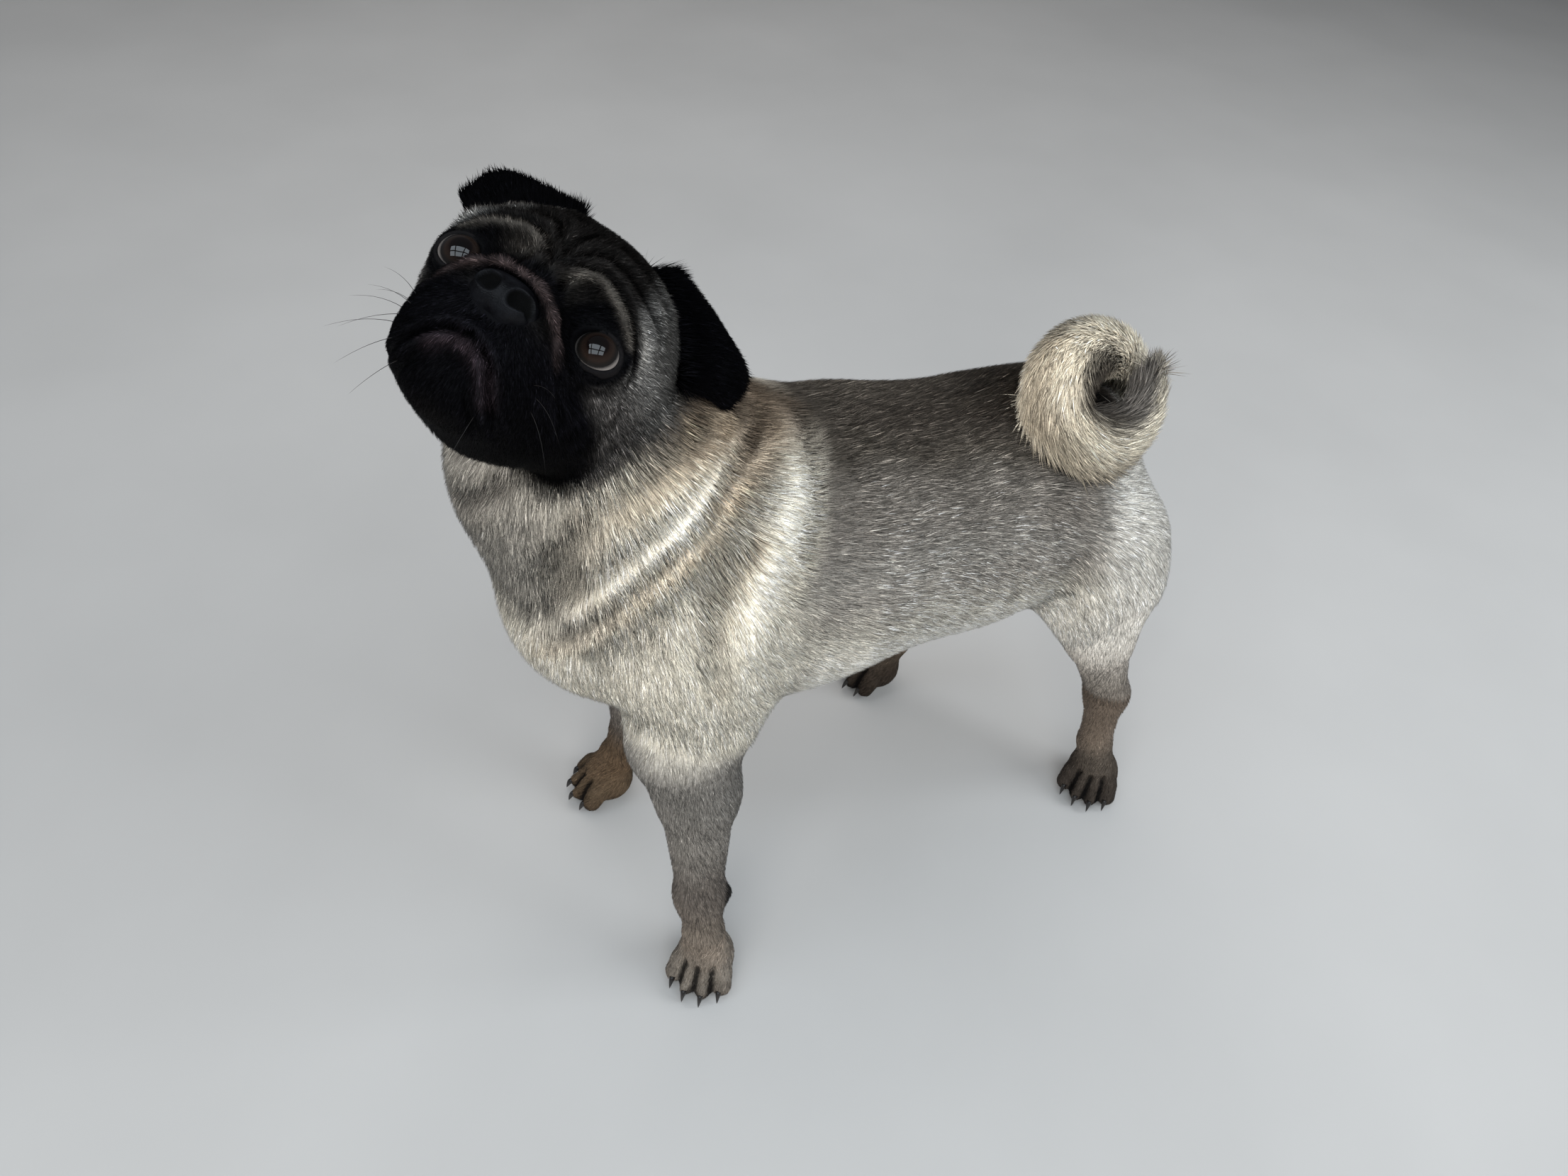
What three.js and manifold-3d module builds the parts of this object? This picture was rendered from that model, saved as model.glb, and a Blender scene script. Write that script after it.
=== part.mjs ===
// A pug standing on four paws, life size, its head turned to its left, lifted and tilted.
// Millimetres, +Z up. The dog faces -Y and +X is its left side. The origin is on the floor,
// under the middle of the whole model.
//
// The body is a blend of rounded forms, ellipsoids and tapered limbs, each named by its place
// and its half sizes. Every piece of skin is a three.js sphere grid whose points are cast from
// an inner line of that piece on to the blend, so neighbours lie on one and the same surface.
import * as THREE from "three";
import { mergeVertices } from "three/addons/utils/BufferGeometryUtils.js";
import Module from "manifold-3d";

const wasm = await Module();
wasm.setup();

// Driving dimensions
const GAP = 0.3; // between neighbouring pieces
const HALF_STANCE = 80; // from the middle plane to the middle of a forepaw
const FORE_PAW_Y = -138;
const HIND_PAW_Y = 187;
const STEPPED_PAW_Y = 94; // the right hind paw stands a step further forward
const ELBOW_Z = 188;
const CARPUS_Z = 72;
const HOCK_Z = 92;
const STIFLE_Z = 165;
const EYE_HALF_SPACING = 30.5;
const EYE_RADIUS = 10.8;
const HEAD_PLACE = [17, -183.2, 458]; // the point midway between the two eyes' centres
const HEAD_TURN = 66.5; // degrees, to its left
const HEAD_LIFT = 59; // degrees, muzzle up
const HEAD_TILT = 38.5; // degrees, left ear down

const rad = THREE.MathUtils.degToRad;
const vec = (p) => new THREE.Vector3(...p);
const mirrored = (p) => [-p[0], p[1], p[2]];

// Signed distances: negative inside
function ellipsoid(centre, radii) {
  return (x, y, z) => {
    const a = (x - centre[0]) / radii[0];
    const b = (y - centre[1]) / radii[1];
    const c = (z - centre[2]) / radii[2];
    const k = Math.hypot(a, b, c);
    const g = Math.hypot(a / radii[0], b / radii[1], c / radii[2]);
    return g < 1e-9 ? -Math.min(...radii) : (k * (k - 1)) / g;
  };
}

// A limb that tapers from radius ra at a to radius rb at b, with round ends
function limb(a, ra, b, rb) {
  const d = [b[0] - a[0], b[1] - a[1], b[2] - a[2]];
  const length2 = d[0] * d[0] + d[1] * d[1] + d[2] * d[2];
  return (x, y, z) => {
    const p = [x - a[0], y - a[1], z - a[2]];
    const t = Math.min(1, Math.max(0, (p[0] * d[0] + p[1] * d[1] + p[2] * d[2]) / length2));
    return Math.hypot(p[0] - t * d[0], p[1] - t * d[1], p[2] - t * d[2]) - ra - t * (rb - ra);
  };
}

// Limbs end to end through points [x, y, z, radius]
const chain = (points) =>
  points.slice(1).map((q, i) => limb(points[i].slice(0, 3), points[i][3], q.slice(0, 3), q[3]));

const both = (make, centre, radii) => [make(centre, radii), make(mirrored(centre), radii)];

// A union whose joins are rounded over the width k
function blend(parts, k) {
  return (x, y, z) => {
    let d = parts[0](x, y, z);
    for (let i = 1; i < parts.length; i++) {
      const e = parts[i](x, y, z);
      const h = Math.max(k - Math.abs(d - e), 0) / k;
      d = Math.min(d, e) - (h * h * k) / 4;
    }
    return d;
  };
}

// Trunk and neck
const RIBS = ellipsoid([0, -46, 279], [79, 118, 83]);
const FORECHEST = ellipsoid([0, -138, 291], [64, 71, 69]);
const LOIN = ellipsoid([0, 62, 263], [71, 110, 79]);
const RUMP = ellipsoid([0, 124, 260], [61, 57, 70]);
const NECK = [
  limb([0, -110, 318], 74, [0, -152, 372], 57),
  ellipsoid([-19, -168, 357], [49, 49, 56]),
];
const SHOULDERS = both(ellipsoid, [53, -122, 270], [29, 38, 54]);
const THIGHS = [
  ellipsoid([52, 146, 224], [32, 43, 56]),
  ellipsoid([-52, 118, 224], [32, 48, 56]),
];
const trunkField = blend(
  [RIBS, FORECHEST, LOIN, RUMP, ...NECK, ...SHOULDERS, ...THIGHS],
  26,
);

// Head, in its own frame: x to its left, y back, z up, origin midway between the eyes
const headParts = [
  ellipsoid([0, 30, 11], [50, 43, 42]),
  ...both(ellipsoid, [28, 30, -12], [18.5, 30, 27]),
  ...both(ellipsoid, [20, 12, -31], [15.5, 25, 17.5]),
  ...both(ellipsoid, [31, 7.5, -1], [13.5, 11, 12]),
  ...both(ellipsoid, [25, 6, 15], [18, 13, 11]),
  ellipsoid([0, -1, -10], [26, 20, 25]),
  ...both(ellipsoid, [12.5, -11, -22], [16, 14.5, 18]),
  ...both(ellipsoid, [16, -8, -36], [11, 12, 12]),
  ellipsoid([0, -8, -44], [15, 12.5, 13]),
  ellipsoid([0, 14, -41], [22, 30, 14]),
];
const NOSE_ROLL = [
  [-25, -10, -28],
  [-22, -14, -15],
  [-16, -18, -5],
  [-8, -21, 0],
  [8, -21, 0],
  [16, -18, -5],
  [22, -14, -15],
  [25, -10, -28],
];
const headField = blend([blend(headParts, 10), ...chain(NOSE_ROLL.map((p) => [...p, 4.5]))], 4);

// Creases of the face: each runs over the skin through its points, a channel of that half width
const ALL_CREASES = [
  { name: "mouth", width: 1.9, up: [0, -1, 0.2], over: [
    [-26, 4, -48],
    [-22, -12, -46],
    [-18, -17, -42.5],
    [-13, -22, -36.5],
    [-7, -24, -31.5],
    [0, -25, -29],
    [7, -24, -31.5],
    [13, -22, -36.5],
    [18, -17, -42.5],
    [22, -12, -46],
    [26, 4, -48],
  ] },
  { name: "cleft", width: 1.2, up: [1, 0, 0], over: [[0, -29, -20], [0, -28, -25], [0, -25, -29]] },
  { name: "furrow", width: 2.2, up: [1, 0, 0], over: [[0, -15, 12], [0, -8, 28], [0, 8, 46]] },
];
const PAIRED_CREASES = [
  { name: "brow", width: 2.1, over: [[4, -13, 17], [11, -10.5, 22.5], [19, -8, 24], [27, -8, 20.5], [34, -6, 16], [40, -2, 10], [44, 4, 2]] },
  { name: "cheek", width: 1.9, over: [[18, -22, -9.5], [23.5, -20, -14], [28, -16, -18], [31.5, -9, -21.5], [35, 2, -27]] },
];

// Casting a piece of skin
// A ray from an inner point runs out to where the field turns positive, and halving finds the place.
function cast(field, from, direction, level = 0) {
  const STEP = 2.5;
  const at = (t) =>
    field(from.x + t * direction.x, from.y + t * direction.y, from.z + t * direction.z) - level;
  let far = 0;
  while (at(far) < 0 && far < 400) far += STEP;
  let near = Math.max(0, far - STEP);
  for (let i = 0; i < 14; i++) {
    const middle = (near + far) / 2;
    if (at(middle) < 0) near = middle;
    else far = middle;
  }
  return from.clone().addScaledVector(direction, near);
}

// A closed skin round an inner line. The sphere grid's v runs from the front pole, which looks
// along minus the line's direction, over the line to the rear pole. caps holds the share of rows
// that each pole's fan takes, and ease packs the columns towards u = 0.
function skin(field, { line, up, columns, rows, caps, level = 0, ease = 0, floor = false }) {
  const [first, last] = caps;
  const curve = new THREE.CatmullRomCurve3(line.map(vec), false, "centripetal");
  const grid = new THREE.SphereGeometry(1, columns, rows);
  const uv = grid.getAttribute("uv");
  const position = grid.getAttribute("position");
  for (let i = 0; i < position.count; i++) {
    const v = 1 - uv.getY(i);
    const turn = (2 * Math.PI * (Math.round(uv.getX(i) * columns) % columns)) / columns;
    const u = turn - ease * Math.sin(turn);
    const t = THREE.MathUtils.clamp((v - first) / (1 - first - last), 0, 1);
    const fan = v < first ? v / first - 1 : Math.max(0, (v - 1 + last) / last);
    const tangent = curve.getTangentAt(t);
    const side = new THREE.Vector3().crossVectors(vec(up), tangent).normalize();
    const top = new THREE.Vector3().crossVectors(tangent, side);
    const direction = new THREE.Vector3()
      .addScaledVector(top, Math.cos(u))
      .addScaledVector(side, Math.sin(u))
      .multiplyScalar(Math.cos((fan * Math.PI) / 2))
      .addScaledVector(tangent, Math.sin((fan * Math.PI) / 2));
    if (v === 0 || v === 1) direction.copy(tangent).multiplyScalar(v === 0 ? -1 : 1);
    const point = cast(field, curve.getPointAt(t), direction.normalize(), level);
    if (floor && point.z < 0.05) point.z = 0;
    position.setXYZ(i, point.x, point.y, point.z);
  }
  return grid;
}

// Solids: a geometry as a manifold, and back
function solid(geometry) {
  const bare = geometry.clone();
  bare.deleteAttribute("normal");
  bare.deleteAttribute("uv");
  const merged = mergeVertices(bare, 1e-4);
  const made = new wasm.Manifold(
    new wasm.Mesh({
      numProp: 3,
      vertProperties: new Float32Array(merged.getAttribute("position").array),
      triVerts: new Uint32Array(merged.index.array),
    }),
  );
  if (made.volume() > 0) return made;
  const turned = new Uint32Array(merged.index.array);
  for (let i = 0; i < turned.length; i += 3) [turned[i], turned[i + 1]] = [turned[i + 1], turned[i]];
  return new wasm.Manifold(
    new wasm.Mesh({
      numProp: 3,
      vertProperties: new Float32Array(merged.getAttribute("position").array),
      triVerts: turned,
    }),
  );
}

const largest = (body) =>
  body.decompose().reduce((best, piece) => (piece.volume() > best.volume() ? piece : best));

function mesh(name, body, material) {
  const { vertProperties, triVerts } = largest(body).getMesh();
  const geometry = new THREE.BufferGeometry();
  geometry.setAttribute("position", new THREE.BufferAttribute(new Float32Array(vertProperties), 3));
  geometry.setIndex(new THREE.BufferAttribute(new Uint32Array(triVerts), 1));
  geometry.computeVertexNormals();
  const made = new THREE.Mesh(geometry, material);
  made.name = name;
  return made;
}

// A slab between two parallel planes, for parting: everything from start to end along the normal
function slab(point, normal, start, end, size = 700) {
  const box = new THREE.BoxGeometry(size, size, end - start);
  const facing = new THREE.Quaternion().setFromUnitVectors(
    new THREE.Vector3(0, 0, 1),
    vec(normal).normalize(),
  );
  box.translate(0, 0, (start + end) / 2);
  box.applyQuaternion(facing);
  box.translate(...point);
  return solid(box);
}

function sphere(centre, radii, columns = 20, rows = 14) {
  const ball = new THREE.SphereGeometry(1, columns, rows);
  ball.scale(...radii);
  ball.translate(...centre);
  return solid(ball);
}

// Materials
const fur = (color) => new THREE.MeshStandardMaterial({ color, roughness: 0.9, metalness: 0 });
const FAWN = fur(0xb8ab98);
const SABLE = fur(0x5f554c);
const CREAM = fur(0xd9cfbf);
const BLACK = fur(0x1b1a1b);
const LEATHER = new THREE.MeshStandardMaterial({ color: 0x17181c, roughness: 0.45 });
const EYE = new THREE.MeshStandardMaterial({ color: 0x2a1710, roughness: 0.05 });

const pug = new THREE.Group();

// Trunk, from the rump to inside the head, parted by three planes
const TRUNK_LINE = [
  [0, 158, 256],
  [0, 100, 266],
  [0, 20, 270],
  [0, -60, 280],
  [0, -112, 316],
  [-3, -138, 350],
  [-4, -152, 376],
];
const trunkShape = { line: TRUNK_LINE, up: [0, 0.5, 1], columns: 34, rows: 38, caps: [0.15, 0.16] };
const headSpace = new THREE.Group();
headSpace.position.set(...HEAD_PLACE);
headSpace.rotation.set(rad(-HEAD_LIFT), rad(HEAD_TILT), rad(HEAD_TURN), "ZXY");
headSpace.updateMatrixWorld(true);

const headShape = {
  line: [[0, 0, -14], [0, 10, -10], [0, 24, 0], [0, 34, 6]],
  up: [0, 0, 1],
  columns: 48,
  rows: 35,
  caps: [0.56, 0.26],
};
const inBody = (geometry) => geometry.applyMatrix4(headSpace.matrixWorld);
const headGrown = solid(
  inBody(skin(headField, { ...headShape, columns: 40, rows: 30, level: GAP + 0.8 })),
);
const trunk = solid(skin(trunkField, trunkShape));
const trunkGrown = solid(skin(trunkField, { ...trunkShape, level: GAP }));

const NECK_CUT = { point: [0, -125, 330], normal: [0, -0.75, 0.9] };
const CHEST_CUT = { point: [0, -48, 270], normal: [0, 1, 0] };
const RUMP_CUT = { point: [0, 92, 270], normal: [0, 1, 0] };
const FAR = 600;
const neck = trunk
  .intersect(slab(NECK_CUT.point, NECK_CUT.normal, 0, FAR))
  .subtract(headGrown);
const belowNeck = trunk.subtract(slab(NECK_CUT.point, NECK_CUT.normal, -GAP, FAR));
const chest = belowNeck.subtract(slab(CHEST_CUT.point, CHEST_CUT.normal, 0, FAR));
const barrel = belowNeck
  .intersect(slab(CHEST_CUT.point, CHEST_CUT.normal, GAP, FAR))
  .subtract(slab(RUMP_CUT.point, RUMP_CUT.normal, 0, FAR));
const rump = belowNeck.intersect(slab(RUMP_CUT.point, RUMP_CUT.normal, GAP, FAR));
pug.add(mesh("neck", neck, FAWN), mesh("chest", chest, FAWN));
pug.add(mesh("barrel", barrel, SABLE), mesh("rump", rump, FAWN));

// Legs, each of a shank that grows from the trunk and a paw below it
const TOE_SPREAD = [-15, -5.2, 5.2, 15];
const TOE_REACH = [-11, -17, -17, -11];
const SKIRT = 11;

function pawField(foot, ankle) {
  const [x, y] = foot;
  const toes = TOE_SPREAD.map((dx, i) =>
    limb([x + dx * 0.6, y - 2, 14], 9.5, [x + dx, y + TOE_REACH[i], 8.2], 8.9),
  );
  const heel = ellipsoid([x, y + 3, 14], [18, 18, 15.5]);
  const pastern = limb([x, y + 2, 20], 15, ankle.slice(0, 3), ankle[3]);
  const soft = blend([heel, pastern], 12);
  const all = blend([soft, ...toes], 3);
  return (px, py, pz) => Math.max(all(px, py, pz), -pz);
}

function claw(root, tip) {
  const cone = new THREE.ConeGeometry(2.3, vec(root).distanceTo(vec(tip)), 6);
  const direction = vec(tip).sub(vec(root)).normalize();
  cone.applyQuaternion(
    new THREE.Quaternion().setFromUnitVectors(new THREE.Vector3(0, 1, 0), direction),
  );
  cone.translate(...vec(root).add(vec(tip)).multiplyScalar(0.5).toArray());
  return solid(cone);
}

function leg(name, side, points, foot) {
  // The shank swells where it leaves the trunk, no further than SKIRT beyond its own radius
  const rounded = blend([blend(chain(points), 14), trunkField], 2 * SKIRT);
  const reach = blend(chain(points.map((p) => [...p.slice(0, 3), p[3] + SKIRT])), 14);
  const ankle = points.at(-1);
  const shank = solid(
    skin((x, y, z) => Math.max(rounded(x, y, z), reach(x, y, z)), {
      line: points.map((p) => p.slice(0, 3)),
      up: [0, -1, 0],
      columns: 15,
      rows: 17,
      caps: [0.16, 0.12],
    }),
  );
  const low = pawField(foot, ankle);
  const paw = solid(
    skin(low, {
      line: [ankle.slice(0, 3), [foot[0], foot[1] + 1, 14]],
      up: [0, -1, 0],
      columns: 22,
      rows: 12,
      caps: [0.2, 0.36],
      ease: 0.45,
      floor: true,
    }),
  );
  const claws = TOE_SPREAD.map((dx, i) => {
    const y = foot[1] + TOE_REACH[i];
    return claw([foot[0] + dx, y - 3, 8.5], [foot[0] + dx * 1.02, y - 11, 2.4]);
  });
  const cut = [ankle.slice(0, 3), [0, 0, 1]];
  const upper = shank.intersect(slab(...cut, GAP, FAR)).subtract(trunkGrown);
  const lower = paw.subtract(slab(...cut, 0, FAR));
  pug.add(mesh(name + "leg_" + side, upper, FAWN));
  pug.add(mesh(name + "paw_" + side, wasm.Manifold.union([lower, ...claws]), BLACK));
}

leg(
  "fore",
  "left",
  [
    [50, -136, 212, 33],
    [57, -132, ELBOW_Z - 14, 22.5],
    [67, -134, CARPUS_Z + 8, 14.2],
    [73.5, -134, 44, 13],
  ],
  [HALF_STANCE - 3.5, FORE_PAW_Y + 3.5],
);
leg(
  "fore",
  "right",
  [
    [-50, -128, 217, 26],
    [-56, -122, ELBOW_Z - 12, 21],
    [-67, -119, CARPUS_Z, 13.5],
    [-74, -127, 44, 13],
  ],
  [-HALF_STANCE, FORE_PAW_Y],
);
leg(
  "hind",
  "left",
  [
    [54, 148, 208, 31],
    [62, 153, STIFLE_Z + 4, 21],
    [66, 182, HOCK_Z + 6, 14],
    [70, 186, 46, 12.5],
  ],
  [78, HIND_PAW_Y],
);
leg(
  "hind",
  "right",
  [
    [-54, 118, 208, 31],
    [-62, 104, STIFLE_Z + 4, 21],
    [-70, 113, HOCK_Z, 14],
    [-77, 106, 46, 12.5],
  ],
  [-83, STEPPED_PAW_Y],
);

// Tail, one curl over the left hip, in three lengths
const TAIL = [
  [0, 160, 290, 18],
  [-2, 173, 317, 17],
  [-3, 161, 340, 17],
  [0, 130, 353, 18.5],
  [14, 99, 354, 19],
  [27, 90, 342, 19],
  [38, 101, 325, 19],
  [41, 122, 317, 18],
  [38, 146, 325, 16],
  [28, 160, 350, 7],
];
const tailCurve = new THREE.CatmullRomCurve3(TAIL.map((p) => vec(p)), false, "centripetal");
const TAIL_COLUMNS = 12;

// The tail's skin between two shares of its length, a sphere grid drawn out along the curl
function tailLength(start, end, rows, inflate = 0) {
  const grid = new THREE.SphereGeometry(1, TAIL_COLUMNS, rows);
  const position = grid.getAttribute("position");
  const uv = grid.getAttribute("uv");
  const across = new THREE.Vector3(0.75, -0.2, 0.6).normalize();
  for (let i = 0; i < position.count; i++) {
    const v = 1 - uv.getY(i);
    const share = start + (end - start) * THREE.MathUtils.clamp((v - 0.12) / 0.76, 0, 1);
    const u = (2 * Math.PI * (Math.round(uv.getX(i) * TAIL_COLUMNS) % TAIL_COLUMNS)) / TAIL_COLUMNS;
    const knot = tailCurve.getUtoTmapping(share) * (TAIL.length - 1);
    const k = Math.min(TAIL.length - 2, Math.floor(knot));
    const radius = THREE.MathUtils.lerp(TAIL[k][3], TAIL[k + 1][3], knot - k) + inflate;
    const tangent = tailCurve.getTangentAt(share);
    const side = new THREE.Vector3().crossVectors(across, tangent).normalize();
    const top = new THREE.Vector3().crossVectors(tangent, side);
    const fan = v < 0.12 ? v / 0.12 - 1 : v > 0.88 ? (v - 0.88) / 0.12 : 0;
    const around = v === 0 || v === 1 ? 0 : Math.cos((fan * Math.PI) / 2);
    const point = tailCurve
      .getPointAt(share)
      .addScaledVector(top, radius * around * Math.cos(u))
      .addScaledVector(side, radius * around * Math.sin(u))
      .addScaledVector(tangent, radius * Math.sin((fan * Math.PI) / 2));
    position.setXYZ(i, point.x, point.y, point.z);
  }
  return solid(grid);
}

function tailCut(share) {
  const point = tailCurve.getPointAt(share);
  const normal = tailCurve.getTangentAt(share).toArray();
  return (start, end, size) => slab(point.toArray(), normal, start, end, size);
}

const TAIL_CUTS = [0.36, 0.7];
const cuts = TAIL_CUTS.map(tailCut);
const tailBase = tailLength(0, TAIL_CUTS[0] + 0.04, 14)
  .subtract(cuts[0](0, 60, 90))
  .subtract(trunkGrown);
const tailMiddle = tailLength(TAIL_CUTS[0] - 0.04, TAIL_CUTS[1] + 0.04, 14)
  .subtract(cuts[0](-60, GAP, 90))
  .subtract(cuts[1](0, 60, 70))
  .subtract(trunkGrown);
const tailTip = tailLength(TAIL_CUTS[1] - 0.04, 1, 14)
  .subtract(cuts[1](-60, GAP, 70))
  .subtract(trunkGrown);
pug.add(mesh("tail_base", tailBase, CREAM));
pug.add(mesh("tail_middle", tailMiddle, CREAM));
pug.add(mesh("tail_tip", tailTip, SABLE));

const floorGroup = new THREE.Group();
floorGroup.add(pug);

// Head
let head = solid(inBody(skin(headField, headShape)));

// A point moved on to the surface of a field, then out by the given height
function onSurface(field, point, height) {
  const p = vec(point);
  const slope = new THREE.Vector3();
  for (let i = 0; i < 6; i++) {
    const at = (x, y, z) => field(p.x + x, p.y + y, p.z + z);
    slope.set(
      at(0.2, 0, 0) - at(-0.2, 0, 0),
      at(0, 0.2, 0) - at(0, -0.2, 0),
      at(0, 0, 0.2) - at(0, 0, -0.2),
    );
    slope.divideScalar(0.4);
    p.addScaledVector(slope, -at(0, 0, 0) / slope.lengthSq());
  }
  return p.addScaledVector(slope.normalize(), height).toArray();
}

function crease({ over, width, up = [0, -1, 0.3] }) {
  const line = over.map((p) => onSurface(headField, p, 0.25 * width));
  const tube = blend(chain(line.map((p) => [...p, width])), 1);
  return skin(tube, { line, up, columns: 5, rows: 2 * over.length, caps: [0.1, 0.1] });
}

for (const each of ALL_CREASES) head = head.subtract(solid(inBody(crease(each))));
for (const each of PAIRED_CREASES)
  for (const s of [1, -1]) {
    const over = each.over.map((p) => [s * p[0], p[1], p[2]]);
    head = head.subtract(solid(inBody(crease({ ...each, over }))));
  }

// Eyelids: one ring round each eye, oval and bent back at both corners
const LIDS = { centre: [EYE_HALF_SPACING + 0.4, -6.2, -1], half: [10.3, 9], thickness: 2.1, turn: 18 };

function lids(s) {
  const ring = new THREE.TorusGeometry(LIDS.half[0], LIDS.thickness, 6, 20);
  ring.rotateX(rad(90));
  ring.scale(1, 1, LIDS.half[1] / LIDS.half[0]);
  const position = ring.getAttribute("position");
  for (let i = 0; i < position.count; i++)
    position.setY(i, position.getY(i) + 0.017 * position.getX(i) ** 2);
  ring.rotateZ(rad(LIDS.turn * s));
  ring.translate(s * LIDS.centre[0], LIDS.centre[1], LIDS.centre[2]);
  return ring;
}

const eyes = [];
for (const [side, s] of [["left", 1], ["right", -1]]) {
  head = head.add(solid(inBody(lids(s))));
  const place = [s * EYE_HALF_SPACING, 0.4, -1];
  const size = [EYE_RADIUS, EYE_RADIUS, EYE_RADIUS];
  const ball = new THREE.SphereGeometry(1, 16, 11);
  ball.scale(...size);
  ball.translate(...place);
  const socket = new THREE.SphereGeometry(1, 16, 11);
  socket.scale(...size.map((r) => r + GAP));
  socket.translate(...place);
  head = head.subtract(solid(inBody(socket)));
  eyes.push(mesh("eye_" + side, solid(inBody(ball)), EYE));
}

// Nose leather, set in a pocket of the muzzle, with its two nostrils
const NOSE = { centre: [0, -20.5, -10], radii: [12.5, 8, 8.6] };
const noseParts = [
  ellipsoid(NOSE.centre, NOSE.radii),
  ...both(ellipsoid, [6.5, -22.5, -11.5], [6, 6, 6.2]),
];
const noseField = blend(noseParts, 4);
const noseShape = {
  line: [[0, -22, -10.5], [0, -18, -10]],
  up: [0, 0, 1],
  columns: 18,
  rows: 12,
  caps: [0.5, 0.4],
};
let nose = solid(inBody(skin(noseField, noseShape)));
head = head.subtract(solid(inBody(skin(noseField, { ...noseShape, level: GAP }))));
for (const s of [1, -1]) {
  const nostril = new THREE.SphereGeometry(1, 8, 6);
  nostril.scale(2.1, 5, 2.6);
  nostril.rotateZ(rad(-24 * s));
  nostril.translate(5.6 * s, -29, -9.8);
  nose = nose.subtract(solid(inBody(nostril)));
}

// Ears, thin cupped flaps from the side of the skull out to the rim
const EAR_THICKNESS = 2.6;
const EARS = {
  left: {
    root: [[12, 25, 51], [25, 31, 43.5], [38, 35, 35], [49, 39, 25]],
    rim: [[21, 31, 61], [47, 49, 60], [65, 58, 53], [67, 57, 31]],
    cup: 6,
    away: [0.7, -0.1, 0.6],
  },
  right: {
    root: [[-17, 25, 46], [-27, 32, 41], [-38, 37, 33], [-45, 42, 22]],
    rim: [[-24, 31, 60], [-46, 34, 59.5], [-67.5, 40, 56], [-76.5, 46, 38]],
    cup: -6,
    away: [-0.4, 0.75, 0.5],
  },
};

// A sheet of even thickness over a surface at(s, t), with the same diagonals on both faces
function sheet(at, across, along, thickness) {
  const points = [];
  const step = 1e-3;
  for (const side of [-0.5, 0.5])
    for (let i = 0; i <= across; i++)
      for (let j = 0; j <= along; j++) {
        const [s, t] = [i / across, j / along];
        const ds = at(s + step, t).sub(at(s - step, t));
        const dt = at(s, t + step).sub(at(s, t - step));
        const normal = ds.cross(dt).normalize();
        points.push(...at(s, t).addScaledVector(normal, side * thickness).toArray());
      }
  const row = along + 1;
  const face = row * (across + 1);
  const index = [];
  const quad = (a, b, c, d) => index.push(a, b, c, a, c, d);
  for (let i = 0; i < across; i++)
    for (let j = 0; j < along; j++) {
      const a = i * row + j;
      index.push(a, a + 1, a + row + 1, a, a + row + 1, a + row);
      index.push(face + a, face + a + row + 1, face + a + 1);
      index.push(face + a, face + a + row, face + a + row + 1);
    }
  for (let j = 0; j < along; j++) {
    quad(j, face + j, face + j + 1, j + 1);
    const a = across * row + j;
    quad(a, a + 1, face + a + 1, face + a);
  }
  for (let i = 0; i < across; i++) {
    const a = i * row;
    quad(a, a + row, face + a + row, face + a);
    const b = a + along;
    quad(b, face + b, face + b + row, b + row);
  }
  const made = new THREE.BufferGeometry();
  made.setAttribute("position", new THREE.Float32BufferAttribute(points, 3));
  made.setIndex(index);
  return made;
}

const ears = Object.entries(EARS).map(([side, { root, rim, cup, away }]) => {
  const inner = new THREE.CatmullRomCurve3(root.map(vec));
  const outer = new THREE.CatmullRomCurve3(rim.map(vec));
  const outwards = vec(away).normalize();
  const at = (s, t) => {
    const a = inner.getPoint(THREE.MathUtils.clamp(s, 0, 1));
    const b = outer.getPoint(THREE.MathUtils.clamp(s, 0, 1));
    const bulge = cup * Math.sin(Math.PI * t) * Math.sin(Math.PI * (0.15 + 0.7 * s));
    return a.lerp(b, t).addScaledVector(outwards, bulge);
  };
  const flap = solid(inBody(sheet(at, 10, 7, EAR_THICKNESS)));
  return mesh("ear_" + side, flap.subtract(headGrown).subtract(trunkGrown), BLACK);
});

pug.add(mesh("head", head, BLACK), mesh("nose", nose, LEATHER), ...eyes, ...ears);

const box = new THREE.Box3().setFromObject(pug);
const middle = box.getCenter(new THREE.Vector3());
floorGroup.position.set(-middle.x, -middle.y, -box.min.z);

export default floorGroup;
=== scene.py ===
# A pug standing on four paws, life size, its head turned to its left, lifted and tilted.
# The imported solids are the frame. One skin stands for all of its flesh, and the coat grows on it.
# Lengths are in millimetres in the dog's own frame, and become metres when a mesh is made.
import math

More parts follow.
